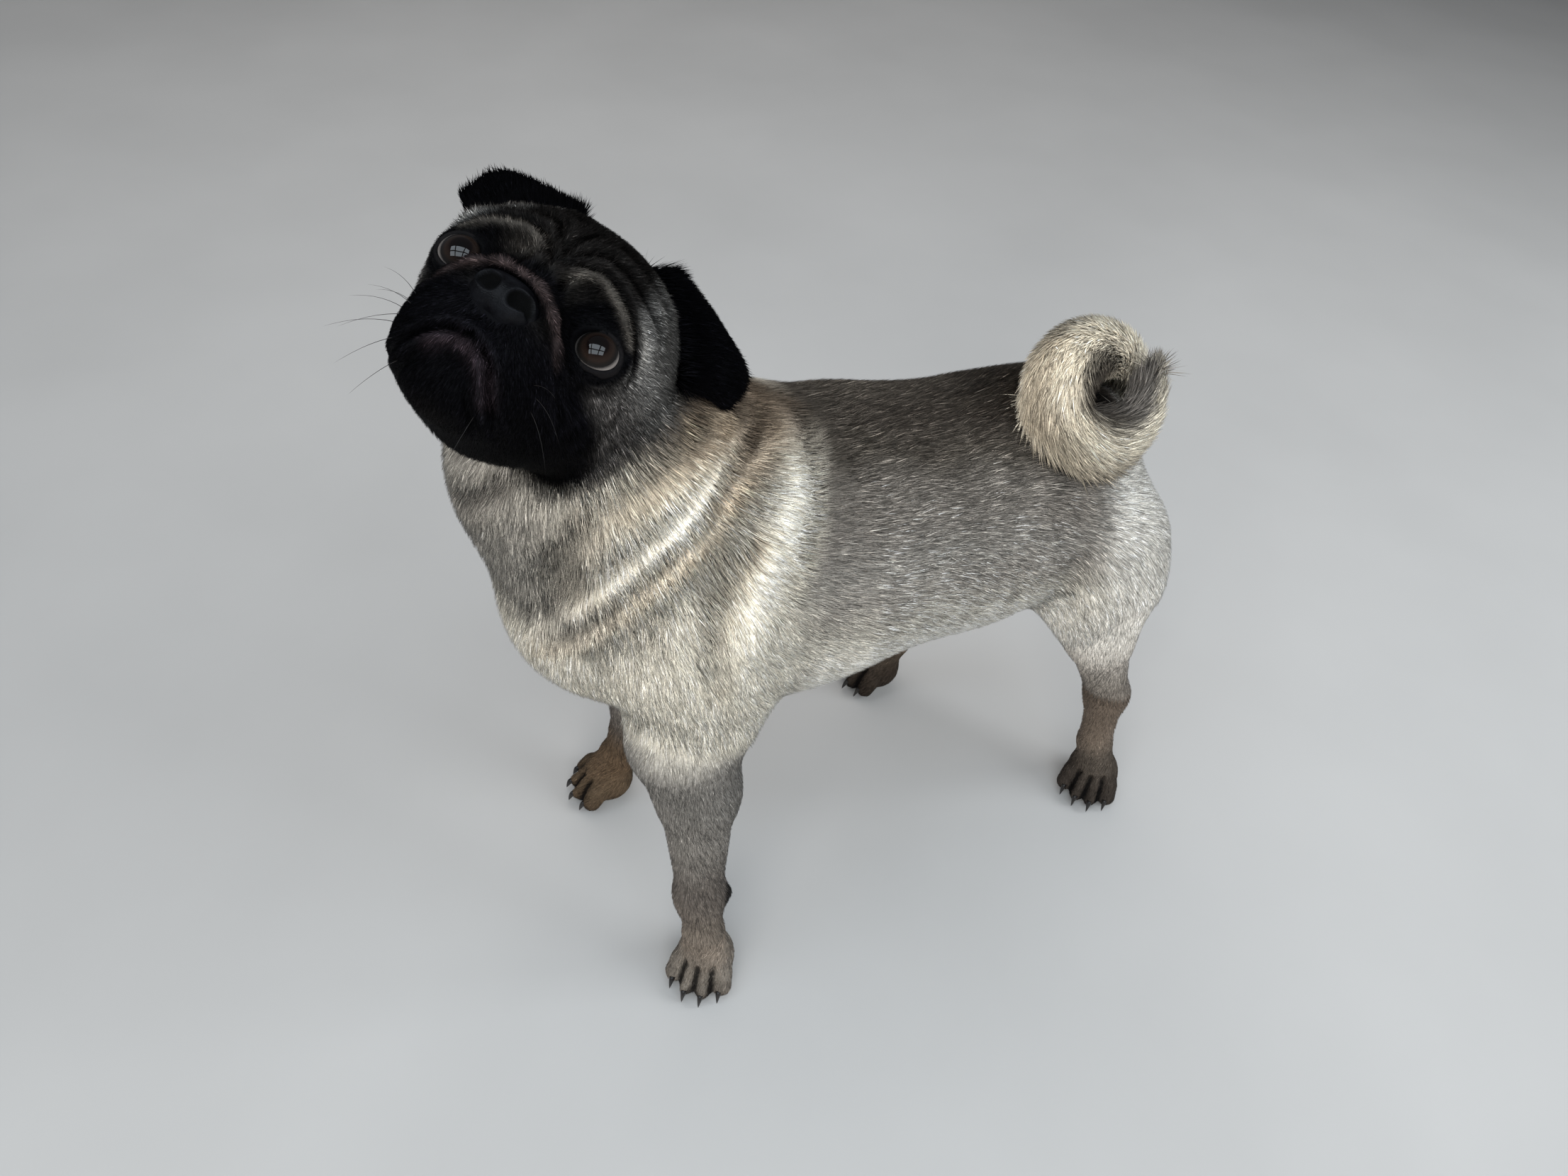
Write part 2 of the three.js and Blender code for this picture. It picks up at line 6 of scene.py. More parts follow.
import bmesh
import bpy
import numpy as np
from mathutils import Matrix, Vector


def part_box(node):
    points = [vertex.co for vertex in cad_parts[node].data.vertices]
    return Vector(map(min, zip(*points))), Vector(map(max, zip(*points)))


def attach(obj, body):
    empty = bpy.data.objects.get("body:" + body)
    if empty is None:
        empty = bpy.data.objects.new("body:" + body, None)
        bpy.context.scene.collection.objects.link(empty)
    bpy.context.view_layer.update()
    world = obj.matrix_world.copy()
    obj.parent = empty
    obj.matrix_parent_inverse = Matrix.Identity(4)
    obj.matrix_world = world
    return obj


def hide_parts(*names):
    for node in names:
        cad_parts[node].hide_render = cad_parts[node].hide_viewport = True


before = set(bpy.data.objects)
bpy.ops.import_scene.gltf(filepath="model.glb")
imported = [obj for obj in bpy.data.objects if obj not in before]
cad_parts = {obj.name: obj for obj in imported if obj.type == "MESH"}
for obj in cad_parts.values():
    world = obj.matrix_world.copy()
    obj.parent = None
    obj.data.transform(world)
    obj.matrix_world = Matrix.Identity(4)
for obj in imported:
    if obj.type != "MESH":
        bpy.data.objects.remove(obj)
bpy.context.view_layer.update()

# Skin: one closed hide over trunk, neck, head, legs, paws and tail, with the two ear flaps and
# the rolled lids in the same piece. It lies under the solids by the depth of the coat, and it
# stands for every node of flesh.
def ellipsoid(centre, radii):
    """Signed distance to an ellipsoid: k(k - 1) / g, k the scaled radius and g its slope."""
    c, r = np.array(centre, float), np.array(radii, float)

    def at(p):
        q = (p - c) / r
        k = np.sqrt((q * q).sum(1))
        g = np.sqrt(((q / r) ** 2).sum(1))
        return k * (k - 1) / np.maximum(g, 1e-6)

    return at


def limb(start, end):
    """Signed distance to a round-ended limb from [x, y, z, radius] to the next."""
    a, b = np.array(start[:3], float), np.array(end[:3], float)
    d = b - a

    def at(p):
        q = p - a
        t = np.clip(q @ d / (d @ d), 0, 1)
        return np.linalg.norm(q - t[:, None] * d, axis=1) - start[3] - t * (end[3] - start[3])

    return at


def blend(parts, k):
    """Union of fields, its joins rounded: min(d, e) - h h k / 4 with h = max(k - |d - e|, 0) / k."""

    def at(p):
        d = parts[0](p)
        for part in parts[1:]:
            e = part(p)
            h = np.maximum(k - np.abs(d - e), 0) / k
            d = np.minimum(d, e) - h * h * k / 4
        return d

    return at


def carve(whole, tool, soft):
    """A form with another taken out of it, the edge rounded over the width soft."""

    def at(p):
        d, e = whole(p), -tool(p)
        h = np.maximum(soft - np.abs(d - e), 0) / soft
        return np.maximum(d, e) + h * h * soft / 4

    return at


def chain(points):
    """Limbs end to end."""
    return [limb(a, b) for a, b in zip(points, points[1:])]


def both(centre, radii):
    """A form on the left and its mirror on the right."""
    x, y, z = centre
    return [ellipsoid(centre, radii), ellipsoid([-x, y, z], radii)]


def near(field, centre, radius):
    """The field close to a form, and far from it only the distance to a ball that holds it."""
    c = np.array(centre, float)

    def at(p):
        d = np.linalg.norm(p - c, axis=1) - radius
        close = d < 28
        d[close] = field(p[close])
        return d

    return at


def inset(field, depth):
    """The same form, smaller by the depth of its coat."""
    return lambda p: field(p) + depth


def rotation(axis, degrees):
    """The matrix of a turn about one axis."""
    i, j = {"x": (1, 2), "y": (2, 0), "z": (0, 1)}[axis]
    m = np.eye(3)
    m[i, i] = m[j, j] = math.cos(math.radians(degrees))
    m[j, i] = math.sin(math.radians(degrees))
    m[i, j] = -m[j, i]
    return m


def spline(points, count):
    """A Catmull-Rom curve through rows of numbers, as count rows evenly spaced in its knots."""
    p = np.array(points, float)
    p = np.vstack([2 * p[0] - p[1], p, 2 * p[-1] - p[-2]])
    t = np.linspace(0, len(p) - 3 - 1e-9, count)
    i = t.astype(int)
    f = (t - i)[:, None]
    a, b, c, d = p[i], p[i + 1], p[i + 2], p[i + 3]
    cubic = (3 * b - a - 3 * c + d) * f**3 + (2 * a - 5 * b + 4 * c - d) * f**2
    return b + 0.5 * (cubic + (c - a) * f)


def smooth(low, high, value):
    """0 below low, 1 above high, and an easy rise between."""
    t = np.clip((value - low) / (high - low), 0, 1)
    return t * t * (3 - 2 * t)


def bell(distance, width):
    """1 in the middle of a band and exp(-(distance / width)^2) away from it."""
    return np.exp(-((distance / width) ** 2))


def unit(v):
    """Rows of numbers at length 1."""
    return v / np.maximum(np.linalg.norm(v, axis=-1, keepdims=True), 1e-9)


def line_distance(points, p):
    """How far each point is from a curve, and how far along the curve its nearest place is."""
    line = spline(points, 24)
    best = np.full(len(p), 1e9)
    share = np.zeros(len(p))
    for i, (a, b) in enumerate(zip(line, line[1:])):
        d = b - a
        t = np.clip((p - a) @ d / (d @ d + 1e-12), 0, 1)
        r = np.linalg.norm(p - a - t[:, None] * d, axis=1)
        nearer = r < best
        best = np.where(nearer, r, best)
        share = np.where(nearer, (i + t) / (len(line) - 1), share)
    return best, share


EYE = np.array([30.5, 0.4, -1.0])  # centre of the left eyeball, in the head's frame
EYE_RADIUS = 10.8
HEAD_PLACE = np.array([17, -183.2, 458])
HEAD_TURN = rotation("z", 66.5) @ rotation("x", -59) @ rotation("y", 38.5)


def to_head(p):
    """Points of the dog's frame in the head's: x to its left, y back, z up, between the eyes."""
    return (p - HEAD_PLACE) @ HEAD_TURN


def from_head(q):
    """Points of the head's frame in the dog's."""
    return q @ HEAD_TURN.T + HEAD_PLACE


# From the dog's frame to the part's: the middle of both eyeballs' boxes lies midway between the eyes
eye_corners = np.array([list(corner) for node in ("eye_left", "eye_right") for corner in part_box(node)])
SHIFT = 1000 * eye_corners.mean(0) - from_head(EYE * [0, 1, 1])

TRUNK = [
    ellipsoid([0, -46, 279], [79, 118, 83]),
    ellipsoid([0, -138, 291], [64, 71, 69]),
    ellipsoid([0, 62, 263], [71, 110, 79]),
    ellipsoid([0, 124, 260], [61, 57, 70]),
    limb([0, -110, 318, 74], [0, -152, 372, 57]),
    ellipsoid([-19, -168, 357], [49, 49, 56]),
    *both([53, -122, 270], [29, 38, 54]),
    ellipsoid([52, 146, 224], [32, 43, 56]),
    ellipsoid([-52, 118, 224], [32, 48, 56]),
]
# Hip or elbow to pastern, each with its radius, then the middle of each paw and its turn in degrees
LEGS = {
    "fore left": [[50, -136, 212, 33], [57, -132, 174, 22.5], [67, -134, 80, 14.2], [73.5, -134, 44, 13]],
    "fore right": [[-50, -128, 217, 26], [-56, -122, 176, 21], [-67, -119, 72, 13.5], [-74, -127, 44, 13]],
    "hind left": [[54, 148, 208, 31], [62, 153, 169, 21], [66, 182, 98, 14], [70, 186, 46, 12.5]],
    "hind right": [[-54, 118, 208, 31], [-62, 104, 169, 21], [-70, 113, 92, 14], [-77, 106, 46, 12.5]],
}
FEET = {
    "fore left": (76.5, -134.5, 44),
    "fore right": (-80, -138, -14),
    "hind left": (78, 187, 36),
    "hind right": (-83, 94, -12),
}
TOES = [(-15.2, -10.5), (-5.4, -16.6), (5.4, -16.6), (15.2, -10.5)]  # across, and back, from the foot
CARPAL_PADS = [[72, -120.5, 77], [-71, -106, 72]]
TAIL = [
    [0, 160, 290, 18], [-2, 173, 317, 17], [-3, 161, 340, 17], [0, 130, 353, 18.5], [14, 99, 354, 19],
    [27, 90, 342, 19], [38, 101, 325, 19], [41, 122, 317, 18], [38, 146, 325, 16], [28, 160, 350, 9],
]
HEAD = [
    ellipsoid([0, 30, 11], [50, 43, 42]),
    *both([28, 30, -12], [18.5, 30, 27]),
    *both([20, 12, -31], [15.5, 25, 17.5]),
    *both([31, 7.5, -1], [13.5, 11, 12]),
    *both([25, 6, 15], [18, 13, 11]),
    ellipsoid([0, -1, -10], [26, 20, 25]),
    *both([12.5, -11, -22], [16, 14.5, 18]),
    *both([16, -8, -36], [11, 12, 12]),
    ellipsoid([0, -8, -44], [15, 12.5, 13]),
    ellipsoid([0, 14, -41], [22, 30, 14]),
]
NOSE_ROLL = [[-25, -10, -28], [-22, -14, -15], [-16, -18, -5], [-8, -21, 0]]
NOSE_ROLL += [[-x, y, z] for x, y, z in NOSE_ROLL[::-1]]
TRUNK_DEPTH, LEG_DEPTH, PAW_DEPTH, TAIL_DEPTH, HEAD_DEPTH = 2.8, 1.6, 0.8, 9.0, 1.2  # of the coat
FLOOR_GAP = 0.2  # under the soles, and under the lowest hair


def on_foot(name, across, back):
    """A place in a paw, across and back from its middle, turned outward as the paw is."""
    x, y, turn = FEET[name]
    a = math.radians(turn)
    return [x + across * math.cos(a) - back * math.sin(a), y + across * math.sin(a) + back * math.cos(a)]


def paw(name):
    """A paw's field: four knuckled toes parted by grooves, a heel and the pastern, on the floor."""
    toes = []
    for dx, dy in TOES:
        root = [*on_foot(name, 0.5 * dx, 3), 19, 8]
        knuckle = [*on_foot(name, 0.82 * dx, 0.62 * dy + 1), 15, 7.6]
        toes.append(blend(chain([root, knuckle, [*on_foot(name, dx, dy), 8, 7.1]]), 3))
    heel = ellipsoid([*on_foot(name, 0, 3.5), 14], [17.5, 17, 15])
    soft = blend([heel, limb([*on_foot(name, 0, 2.5), 20, 14], LEGS[name][-1])], 12)
    whole = blend([soft, *toes], 2.2)
    for (ax, ay), (bx, by) in zip(TOES, TOES[1:]):
        mx, my = (ax + bx) / 2, (ay + by) / 2
        web = [
            [*on_foot(name, 0.55 * mx, -3), 26.5, 0.4],
            [*on_foot(name, 0.95 * mx, 0.8 * my - 2.5), 20.5, 1.4],
            [*on_foot(name, 1.12 * mx, my - 7), 6, 2.3],
        ]
        whole = carve(whole, blend(chain(web), 1), 3)
    return lambda p: np.maximum(whole(p) + PAW_DEPTH, 0.15 - p[:, 2])


trunk_form = near(inset(blend(TRUNK, 26), TRUNK_DEPTH), [0, -10, 280], 240)
pads = dict(zip(LEGS, CARPAL_PADS))
leg_forms = {}
for name, points in LEGS.items():
    shank = blend(chain(points), 14)
    if name in pads:
        shank = blend([shank, ellipsoid(pads[name], [5.2, 6.5, 8])], 5)
    leg_forms[name] = near(inset(shank, LEG_DEPTH), np.mean(points, 0)[:3], 130)
paw_forms = {name: near(paw(name), [*FEET[name][:2], 20], 40) for name in FEET}
LID_OPENING = np.array([8.2, 7.0])  # half its width and height
OPENING_SHIFT = np.array([0.3, 0.2])


def from_opening(q):
    """The scaled radius of points from the middle of their own side's eye opening, 1 on its edge."""
    across = (np.abs(q[:, 0]) - EYE[0] - OPENING_SHIFT[0]) / LID_OPENING[0]
    up = (q[:, 2] - EYE[2] - OPENING_SHIFT[1]) / LID_OPENING[1]
    return np.hypot(across, up)


def open_lids(q):
    """An oval shaft in front of each eye, as wide as the opening between its lids."""
    return np.maximum((from_opening(q) - 1) * LID_OPENING[1], q[:, 1] - EYE[1] + 3.5)


head_form = blend([blend(HEAD, 10), *chain([[*p, 4.5] for p in NOSE_ROLL])], 4)
lidded = blend([head_form, *both(EYE, [12.5, 12.2, 12.3])], 4)
faced = carve(inset(lidded, HEAD_DEPTH), open_lids, 0.8)
head_skin = near(lambda p: faced(to_head(p)), from_head(np.array([0, 15, -5])), 75)
tail_tube = spline(TAIL, 26)
tail_tube[:, 3] -= TAIL_DEPTH
tail_form = near(blend(chain(tail_tube), 5), [15, 130, 325], 75)
with_legs = blend([trunk_form, *leg_forms.values()], 22)
body_form = blend([blend([with_legs, *paw_forms.values()], 5), tail_form], 10)
skin_form = blend([body_form, head_skin], 11)


def net(field, low, high, step):
    """The zero surface of a field as quads: one vertex in each grid cell that it crosses, at the
    mean of the crossings of that cell's edges, and one quad round each grid edge that it cuts."""
    axes = [np.arange(a, b, step) for a, b in zip(low, high)]
    shape = [len(a) for a in axes]
    value = field(np.stack(np.meshgrid(*axes, indexing="ij"), -1).reshape(-1, 3)).reshape(shape)
    cells = tuple(n - 1 for n in shape)
    total = np.zeros((*cells, 3))
    count = np.zeros(cells)
    cut_by_axis = []
    for axis in range(3):
        one, two = [slice(None)] * 3, [slice(None)] * 3
        one[axis], two[axis] = slice(0, -1), slice(1, None)
        a, b = value[tuple(one)], value[tuple(two)]
        cut = (a < 0) != (b < 0)
        cut_by_axis.append(cut)
        share = np.where(cut, a / np.where(cut, a - b, 1), 0)
        i, j = [k for k in range(3) if k != axis]
        for s in (0, 1):
            for t in (0, 1):
                part = [slice(None)] * 3
                part[i], part[j] = slice(s, s + cells[i]), slice(t, t + cells[j])
                hit = cut[tuple(part)]
                place = np.zeros((*cells, 3))
                place[..., axis] = share[tuple(part)]
                place[..., i], place[..., j] = s, t
                total += place * hit[..., None]
                count += hit
    mixed = count > 0
    number = np.full(cells, -1)
    number[mixed] = np.arange(mixed.sum())
    vertices = np.array(low) + (np.argwhere(mixed) + total[mixed] / count[mixed][:, None]) * step
    faces = []
    for axis in range(3):
        i, j = [(1, 2), (2, 0), (0, 1)][axis]
        at = np.argwhere(cut_by_axis[axis])
        at = at[(at[:, i] > 0) & (at[:, j] > 0) & (at[:, i] < cells[i]) & (at[:, j] < cells[j])]
        back_i, back_j = np.eye(3, dtype=int)[i], np.eye(3, dtype=int)[j]
        ring = [at - back_i - back_j, at - back_j, at, at - back_i]
        quad = np.stack([number[tuple(r.T)] for r in ring], 1)
        outward = value[tuple(at.T)] < 0
        faces.append(np.where(outward[:, None], quad, quad[:, ::-1]))
    return vertices, np.vstack(faces)


def slope(field, p, step=0.25):
    """The field's value and gradient, from four points of a tetrahedron round each point."""
    corners = np.array([[1, 1, 1], [1, -1, -1], [-1, 1, -1], [-1, -1, 1]]) * step
    values = [field(p + c) for c in corners]
    gradient = sum(v[:, None] * c for v, c in zip(values, corners)) / (4 * step * step)
    return sum(values) / 4, gradient


def settle(field, p, rounds):
    """Points moved on to the zero surface by Newton's steps, none of them over 2 mm."""
    for _ in range(rounds):
        value, gradient = slope(field, p)
        step = value / np.maximum((gradient**2).sum(1), 0.04)
        p = p - np.clip(step, -2, 2)[:, None] * gradient
    return p


SKIN_STEP = 3.4  # of the grid that finds the skin
places, quads = net(skin_form, [-116, -246, -6.5], [116, 222, 494], SKIN_STEP)
skin_mesh = bpy.data.meshes.new("skin")
skin_mesh.from_pydata(settle(skin_form, places, 2), [], quads)
build = bmesh.new()
build.from_mesh(skin_mesh)


def refine(chosen):
    """Cuts every chosen face of the skin in four. chosen takes the middles of the faces."""
    pick = chosen(np.array([f.calc_center_median() for f in build.faces]))
    build.faces.ensure_lookup_table()
    edges = {e for i in np.flatnonzero(pick) for e in build.faces[i].edges}
    bmesh.ops.subdivide_edges(build, edges=list(edges), cuts=1, use_grid_fill=True)


def head_zone(p):
    return (np.linalg.norm(to_head(p) - [0, 15, -5], axis=1) < 72) & (head_skin(p) < 6)


def face_zone(p):
    q = to_head(p)
    return head_zone(p) & (q[:, 1] < 9) & (q[:, 2] < 42)


refine(lambda p: head_zone(p) | (p[:, 2] < 40))
refine(face_zone)
build.to_mesh(skin_mesh)
build.free()

# Folds of the loose hide: on the face, in the head's frame, then on neck and shoulder, in the
# dog's. Each is a width, a depth and a curve: a groove with a low swelling on both of its sides.
# A depth below nothing makes a ridge with a groove on both sides.
FACE_FOLDS = {
    "mouth": (1.4, 3.2, [
        [0, -24, -27.5], [6, -23.7, -29.6], [11, -23, -33], [15, -21, -38], [19, -17, -43], [23, -11, -46.5],
        [26, 6, -48],
    ]),
    "nose roll": (2.0, -1.7, [
        [0, -25.8, 0.4], [5, -26, -0.2], [9, -26, -1.3], [13, -24.6, -2.7], [17.5, -23.2, -5.8],
        [21.8, -20.9, -10.5], [25, -17, -17], [27.5, -12, -24],
    ]),
    "above roll": (1.8, 1.6, [
        [0, -17, 9], [4.5, -22, 5.2], [9.5, -24, 4.4], [15, -20.7, 2], [20, -20, -4], [24, -17, -12],
    ]),
    "nose to cheek": (1.7, 2.2, [
        [13, -24, -6], [18.6, -22.6, -9.9], [23.2, -20.5, -13.5], [27.5, -17, -17.5], [30.5, -10.5, -20.5],
        [33.5, -1, -24.5], [37, 8, -30],
    ]),
    "brow": (1.7, 3.4, [
        [1, -13, 13], [5, -12, 19.5], [11, -10.5, 23], [18, -8, 24.5], [26, -7, 21], [33, -5, 17],
        [39, -2, 11.5], [43, 2, 4], [44, 6, -6],
    ]),
    "brow roll": (2.4, -1.4, [
        [8.5, -14, 11], [9, -12.5, 16.8], [12, -11, 19.3], [17, -9.2, 20.6], [22, -9.2, 18.8],
        [28, -8.4, 16.6], [33, -6.6, 13.6], [38, -4, 9],
    ]),
    "upper lid": (0.9, 1.1, [
        [20, -12, -1], [21.5, -11.5, 5], [25, -9.6, 9.6], [30, -8, 11], [35, -6.5, 9.4], [40, -4, 3],
    ]),
    "under eye": (1.1, 1.3, [
        [21, -12, -9], [25.5, -9, -12.8], [31, -7, -13.4], [36, -5, -11], [40.5, -2.5, -5],
    ]),
    "under eye low": (1.5, 1.0, [[23, -14, -15], [29, -9, -18], [36, -3, -15.5], [42, 2, -8]]),
    "inner brow": (1.4, 1.8, [[9.5, -15, 5.5], [8, -14, 11], [10, -12.5, 16.5]]),
    "crown side": (2.4, 2.3, [[7, -8, 31], [16, -5, 32.5], [27, -1, 30], [37, 4, 23], [43, 9, 14]]),
    "crown top": (2.8, 1.9, [[6, 0, 41], [17, 4, 42], [29, 9, 38], [38, 14, 30]]),
    "cheek": (2.0, 1.6, [[43.5, 2, -11], [41.5, 7, -21], [37, 14, -32]]),
    "cheek back": (2.4, 1.2, [[46.5, 11, -4], [45, 17, -16], [40, 24, -28]]),
    "lower lip": (2.0, -0.9, [[0, -22, -32.5], [7, -22, -34], [13, -20.5, -38.5], [18, -15, -45]]),
    "chin side": (1.6, 1.3, [[8, -19, -42], [13, -15, -47], [17, -7, -51], [19, 4, -53]]),
}
FACE_MIDDLE = {
    "cleft": (0.7, 1.8, [[0, -28.5, -16.5], [0, -25.5, -21], [0, -24, -28]]),
    "furrow": (1.7, 2.6, [[0, -17, 8.5], [0.5, -13, 15], [-0.5, -9, 26], [1, 1, 40]]),
    "left slant": (1.7, 2.0, [[2, -11.5, 20], [6, -8.5, 27], [12, -3, 36]]),
    "right slant": (1.7, 2.0, [[-2, -11, 21], [-8, -8, 28], [-13, -2, 37]]),
}
NECK_FOLDS = {
    "nape": (5, 3.2, [
        [33, -112, 403], [40, -127, 402], [49, -144, 399], [52, -157, 394], [52, -169, 389], [50, -177, 383],
        [46, -185, 371], [43, -189, 360], [40, -190, 345],
    ]),
    "collar crest": (12, -3.2, [
        [22, -103, 401], [28, -111, 399], [37, -115, 394], [46, -124, 391], [53, -134, 383], [57, -145, 373],
        [58, -157, 363], [56, -166, 352], [52, -177, 337], [43, -188, 321], [32, -199, 305],
    ]),
    "collar": (3.6, 4.6, [
        [26, -88, 386], [35, -96, 385], [43, -106, 384], [54, -123, 378], [59, -133, 368], [60, -147, 358],
        [57, -161, 345], [52, -174, 331], [42, -188, 314], [27, -202, 297],
    ]),
    "band crest": (12, -3.0, [
        [6, -66, 376], [28, -75, 375], [42, -81, 369], [51, -83, 362], [58, -89, 356], [67, -103, 345],
        [74, -115, 331], [79, -118, 312], [80, -112, 285],
    ]),
    "saddle edge": (7, 2.2, [
        [0, -54, 372], [14, -56, 370], [32, -64, 367], [46, -67, 359], [57, -73, 351], [65, -81, 343],
        [73, -87, 327],
    ]),
    "shoulder": (8, 3.4, [
        [60, -112, 356], [68, -124, 343], [71, -130, 333], [75, -134, 321], [80, -137, 304], [81, -136, 285],
    ]),
    "jaw": (3.6, 2.6, [
        [38, -134, 410], [44, -144, 406], [48, -155, 401], [49, -167, 396], [49, -174, 390], [44, -184, 385],
    ]),
    "throat": (8, 3.6, [[43, -189, 365], [39, -190, 348], [36, -192, 329], [31, -198, 309]]),
    "under jaw": (5, 2.4, [[20, -202, 392], [14, -209, 380], [-2, -214, 368], [-16, -210, 362]]),
    "right collar": (9, 3.0, [
        [-40, -92, 382], [-56, -115, 372], [-62, -140, 355], [-56, -170, 330], [-38, -192, 305],
    ]),
    "right nape": (8, 2.6, [[-30, -105, 398], [-50, -130, 390], [-60, -160, 370], [-54, -186, 350]]),
    "right shoulder": (9, 2.6, [[-68, -120, 343], [-75, -128, 321], [-80, -130, 295]]),
    "elbow": (9, 2.2, [[74, -96, 262], [70, -88, 238], [62, -90, 218]]),
    "flank fold": (12, 2.4, [[66, 92, 268], [66, 100, 246], [62, 104, 226]]),
}


def grooves(p, folds, mirror):
    """The height that folds give each point: -depth exp(-(d/w)^2), with a swelling of under half
    the depth two widths away, both fading out towards the fold's ends."""
    height = np.zeros(len(p))
    for width, depth, points in folds.values():
        for side in ([1, -1] if mirror else [1]):
            line = np.array(points, float) * [side, 1, 1]
            spread = np.abs(p - line.mean(0)).max(1) < np.ptp(line, 0).max() + 5 * width
            if not spread.any():
                continue
            d, share = line_distance(line, p[spread])
            end = smooth(0, 0.12, share) * smooth(0, 0.15, 1 - share)
            if mirror and abs(points[0][0]) < 1.1:
                end = smooth(0, 0.15, 1 - share)
            swelling = 0.4 * bell(d - 2.1 * width, 1.2 * width)
            height[spread] += depth * end * (swelling - bell(d, width))
    return height


def relief(p):
    """The height of all folds at points of the dog's frame."""
    head = head_skin(p)
    height = grooves(p, NECK_FOLDS, False) * smooth(-2, 8, head)
    close = head < 5
    local = to_head(p[close])
    height[close] += grooves(local, FACE_FOLDS, True) + grooves(local, FACE_MIDDLE, False)
    return height


def wander(p, size, seed):
    """A smooth random value near -1 to 1 at each point: sines along eight random directions."""
    rng = np.random.default_rng(seed)
    waves = rng.normal(size=(8, 3)) / size
    return np.sin(p @ waves.T + rng.uniform(0, 6.3, 8)).sum(1) / 2.8


places = np.zeros(3 * len(skin_mesh.vertices))
skin_mesh.vertices.foreach_get("co", places)
places = settle(skin_form, places.reshape(-1, 3), 3)
_, normal = slope(skin_form, places)
places = places + relief(places)[:, None] * unit(normal)
LID_CLEARANCE = 0.4
for side in (1, -1):  # outside the lids the skin stays over the ball
    local = to_head(places) * [side, 1, 1]
    q = local - EYE
    r = np.linalg.norm(q, axis=1)
    low = (from_opening(local) > 1.08) & (r < EYE_RADIUS + LID_CLEARANCE) & (q[:, 1] < 6)
    raised = q[low] * ((EYE_RADIUS + LID_CLEARANCE) / r[low])[:, None] + EYE
    places[low] = from_head(raised * [side, 1, 1])
places[:, 2] = np.maximum(places[:, 2], FLOOR_GAP)
skin_mesh.vertices.foreach_set("co", places.ravel())

# Ear flaps and lids: thin folded leather with fur on both faces, and a smooth rolled rim round
# each eye. Both are closed shells whose roots are sunk in the head.
EARS = [  # root and rim curves, how far the flap cups, and the way that it cups towards
    (
        [[12, 25, 49], [25, 31, 41.5], [38, 35, 33], [47, 39, 23]],
        [[21, 31, 60], [46, 48, 59], [63.5, 57, 52], [65.5, 56, 32]],
        6, [0.7, -0.1, 0.6],
    ),
    (
        [[-17, 25, 44], [-27, 32, 39], [-38, 37, 31], [-43, 42, 20]],
        [[-24, 31, 58], [-45, 34, 58], [-66, 40, 54.5], [-74.5, 45, 38]],
        -6, [-0.4, 0.75, 0.5],
    ),
]
EAR_THICKNESS = 1.9
BALL_RADIUS = EYE_RADIUS - 0.35


def sleeve(rows, columns):
    """The numbers of a tube's points, a row to each ring, and the quads between its rings."""
    index = np.arange(rows * columns).reshape(rows, columns)
    turn = np.roll(index, -1, 1)
    return index, np.stack([index[:-1], turn[:-1], turn[1:], index[1:]], -1).reshape(-1, 4).tolist()


def fan(tip, ring):
    """Triangles from a tip to a ring of points."""
    return [[tip, a, b] for a, b in zip(ring, np.roll(ring, -1))]


def ear(root, rim, cup, away, across=44, along=30):
    """A flap: root and rim curves joined by lines that bulge by cup sin(pi t) towards away, with a
    crease along t = s, and a wall on both sides of that sheet that thins towards its free edges.
    Columns run round the wall, front face out to the rim and back face home."""
    s = np.linspace(0, 1, across)[:, None]
    t = np.linspace(0, 1, along)[None, :]
    arch = cup * np.sin(np.pi * t) * np.sin(np.pi * (0.15 + 0.7 * s))
    arch = arch + np.sign(cup) * 1.8 * bell(t - 0.1 - s, 0.16) * t
    arch = arch + 0.9 * np.sin(8 * s + 1) * t**2
    sheet = spline(root, across)[:, None] * (1 - t)[..., None] + spline(rim, across)[:, None] * t[..., None]
    sheet = sheet + arch[..., None] * unit(np.array(away, float))
    ways = np.gradient(sheet, axis=1)
    face = unit(np.cross(np.gradient(sheet, axis=0), ways))
    thin = np.sqrt(1 - t**6) * np.clip(16 * s * (1 - s), 0.15, 1) ** 0.5
    thick = EAR_THICKNESS * (1 + 0.9 * (1 - t) ** 2)
    wall = 0.5 * (thick * thin)[..., None] * face
    loop = np.concatenate([sheet + wall, (sheet - wall)[:, -2::-1]], 1)
    index, quads = sleeve(*loop.shape[:2])
    quads += [index[0].tolist(), index[-1, ::-1].tolist()]
    ways = np.concatenate([ways, ways[:, -2::-1]], 1)
    return loop.reshape(-1, 3), quads, ways.reshape(-1, 3)


